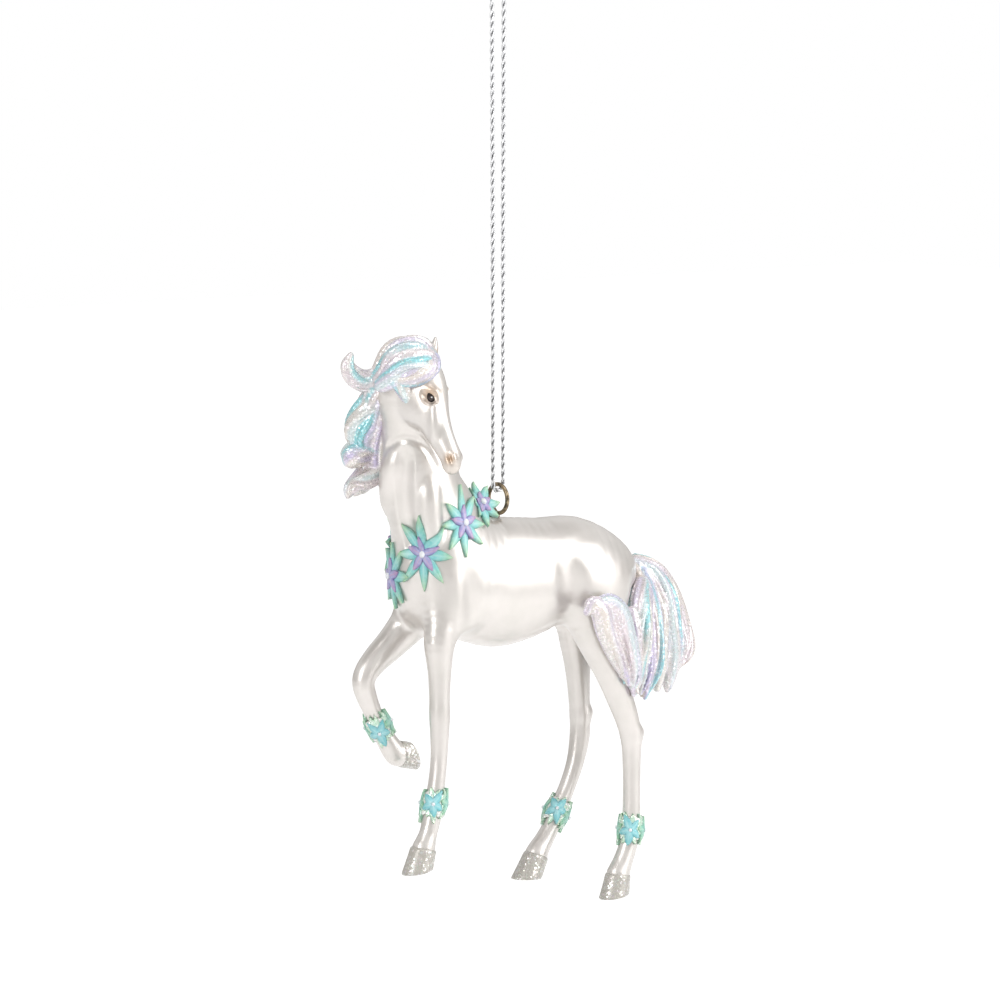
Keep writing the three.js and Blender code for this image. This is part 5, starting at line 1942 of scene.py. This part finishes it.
@dataclass
class Studio:
    """Camera at the photograph's angle, soft lights, pale floor and white surroundings."""

    azimuth: float = -40.0
    elevation: float = 6.0
    distance: float = 0.8
    lens: float = 192.0
    floor: float = -0.30
    floor_half: float = 3.0
    floor_glow: float = 0.8
    world: float = 0.5
    floor_tone: Colour = (0.54, 0.525, 0.505)
    cove_tone: Colour = (0.56, 0.54, 0.525)
    ceiling_tone: Colour = (0.42, 0.40, 0.38)
    # metres to the right of and above the ring's top that the camera looks at
    aim: tuple[float, float] = (0.0003, -0.0027)
    middle: float = -0.1
    # name, metres to the right, up and towards the camera, width and height, watts
    boxes: tuple[tuple[str, Row, tuple[float, float], float], ...] = (
        ("side_box", (0.55, 0.22, 0.12), (0.45, 0.55), 2.6),
        ("front_box", (-0.30, 0.20, 0.55), (0.25, 0.5), 1.9),
        ("top_box", (0.05, 0.60, 0.10), (0.3, 0.3), 0.8),
    )

    def axes(self) -> tuple[Vector, Vector, Vector]:
        """The camera's own ways.

        Returns:
            Right, up and back.
        """
        a, e = math.radians(self.azimuth), math.radians(self.elevation)
        return (
            Vector((math.cos(a), math.sin(a), 0)),
            Vector((-math.sin(a) * math.sin(e), math.cos(a) * math.sin(e), math.cos(e))),
            Vector((math.sin(a) * math.cos(e), -math.cos(a) * math.cos(e), math.sin(e))),
        )

    def camera(self) -> None:
        """Places the camera so that the ring's top falls where the photograph has it."""
        right, up, back = self.axes()
        target = Vector((0, 0, -DROP * MM)) + right * self.aim[0] + up * self.aim[1]
        data = bpy.data.cameras.new("camera")
        data.lens = self.lens
        data.sensor_width = 36.0
        data.clip_start = 0.01
        cam = bpy.data.objects.new("camera", data)
        cam.matrix_world = Matrix.Translation(target + back * self.distance) @ Matrix(
            (right, up, back)).transposed().to_4x4()
        bpy.context.scene.collection.objects.link(cam)
        bpy.context.scene.camera = cam

    def light(self, name: str, offset: Row, size: tuple[float, float], power: float) -> None:
        """Adds a soft box.

        Args:
            name: Its name.
            offset: Metres to the right, up and towards the camera from the horse.
            size: Width and height in metres.
            power: Watts.
        """
        right, _, back = self.axes()
        centre = Vector((0, 0, self.middle))
        place = centre + right * offset[0] + Vector((0, 0, 1)) * offset[1] + back * offset[2]
        data = bpy.data.lights.new(name, "AREA")
        data.shape = "RECTANGLE"
        data.size, data.size_y = size
        data.energy = power
        lamp = bpy.data.objects.new(name, data)
        lamp.location = place
        lamp.rotation_euler = (centre - place).to_track_quat("-Z", "Y").to_euler()
        bpy.context.scene.collection.objects.link(lamp)

    def surroundings(self) -> None:
        """Sets the white world and the pale floor."""
        scene = bpy.context.scene
        scene.view_settings.view_transform = "Standard"
        world = scene.world = bpy.data.worlds.new("surroundings")
        world.use_nodes = True
        n = Nodes(world.node_tree)
        n.tree.nodes.clear()
        height = n.node("SeparateXYZ", {0: n.node("TexCoord").outputs["Generated"]}).outputs["Z"]
        sky = n.node("ValToRGB", {0: height})
        ramp = sky.color_ramp
        ramp.elements[0].color = rgba(self.floor_tone)
        ramp.elements[1].color = rgba(self.ceiling_tone)
        ramp.elements.new(0.6).color = WHITE
        ramp.elements.new(0.8).color = rgba(self.cove_tone)
        lit = n.node("Background", {"Color": sky.outputs[0], "Strength": self.world})
        backdrop = n.mix(n.node("LightPath").outputs["Is Camera Ray"], sky.outputs[0], WHITE)
        seen = n.node("Background", {"Color": backdrop})
        both = n.node("MixShader", {0: n.looking_rays(), 1: lit.outputs[0], 2: seen.outputs[0]})
        n.node("OutputWorld", {0: both.outputs[0]})
        mesh = bpy.data.meshes.new("floor")
        s, z = self.floor_half, self.floor
        mesh.from_pydata([(-s, -s, z), (s, -s, z), (s, s, z), (-s, s, z)], [], [[0, 1, 2, 3]])
        floor = bpy.data.objects.new("floor", mesh)
        scene.collection.objects.link(floor)
        r = Recipe("pale_floor")
        r.shade(Base_Color=rgba((0.86, 0.86, 0.86)), Roughness=0.9)
        share = r.node("Math", {0: r.looking_rays(), 1: self.floor_glow},
                       operation="MULTIPLY").outputs[0]
        glow = r.node("Emission", {"Color": WHITE, "Strength": share})
        both = r.node("AddShader", {0: r.shader.outputs[0], 1: glow.outputs[0]})
        r.feed(r.tree.nodes["Material Output"].inputs["Surface"], both.outputs[0])
        mesh.materials.append(r.material)

    def build(self) -> None:
        """Sets up the whole studio."""
        self.camera()
        self.surroundings()
        for box in self.boxes:
            self.light(*box)
        log.info("studio")


def main() -> None:
    """Builds the studio, then the cord, then the horse from the inside out."""
    logging.basicConfig(level=logging.INFO, format="%(message)s")
    Studio().build()
    CordLoop().build()
    EyeScrew().build()
    casting = Casting()
    casting.build()
    hair_coat = GlitterCoat("glitter_hair").material()
    for hair in (Hair("flowing_mane", "mane", MANE, 3, material=hair_coat),
                 Hair("swept_forelock", "forelock", FORELOCK, 8, material=hair_coat),
                 Hair("flowing_tail", "tail", TAIL, 21, 0.7, material=hair_coat)):
        hair.build()
    hoof_coat = GlitterCoat("glitter_hoof", 4600.0, 0.28, 0.32, 0.4).material()
    for leg in Leg:
        Hoof(leg).build(hoof_coat)
    palette = Palette()
    leaf_paint = HandPaint("leaf_paint").material()
    Garland().build(casting.tree, palette, leaf_paint, HandPaint("lilac_paint").material())
    band_coat = GlitterCoat("silver_band", 5200.0, 0.3, 0.5, 0.35).material()
    blossom_paint = HandPaint("turquoise_paint").material()
    for leg in Leg:
        Anklet(leg).build(casting.tree, palette, band_coat, blossom_paint)
    Eyes().build(casting.tree)


if __name__ == "__main__":
    main()
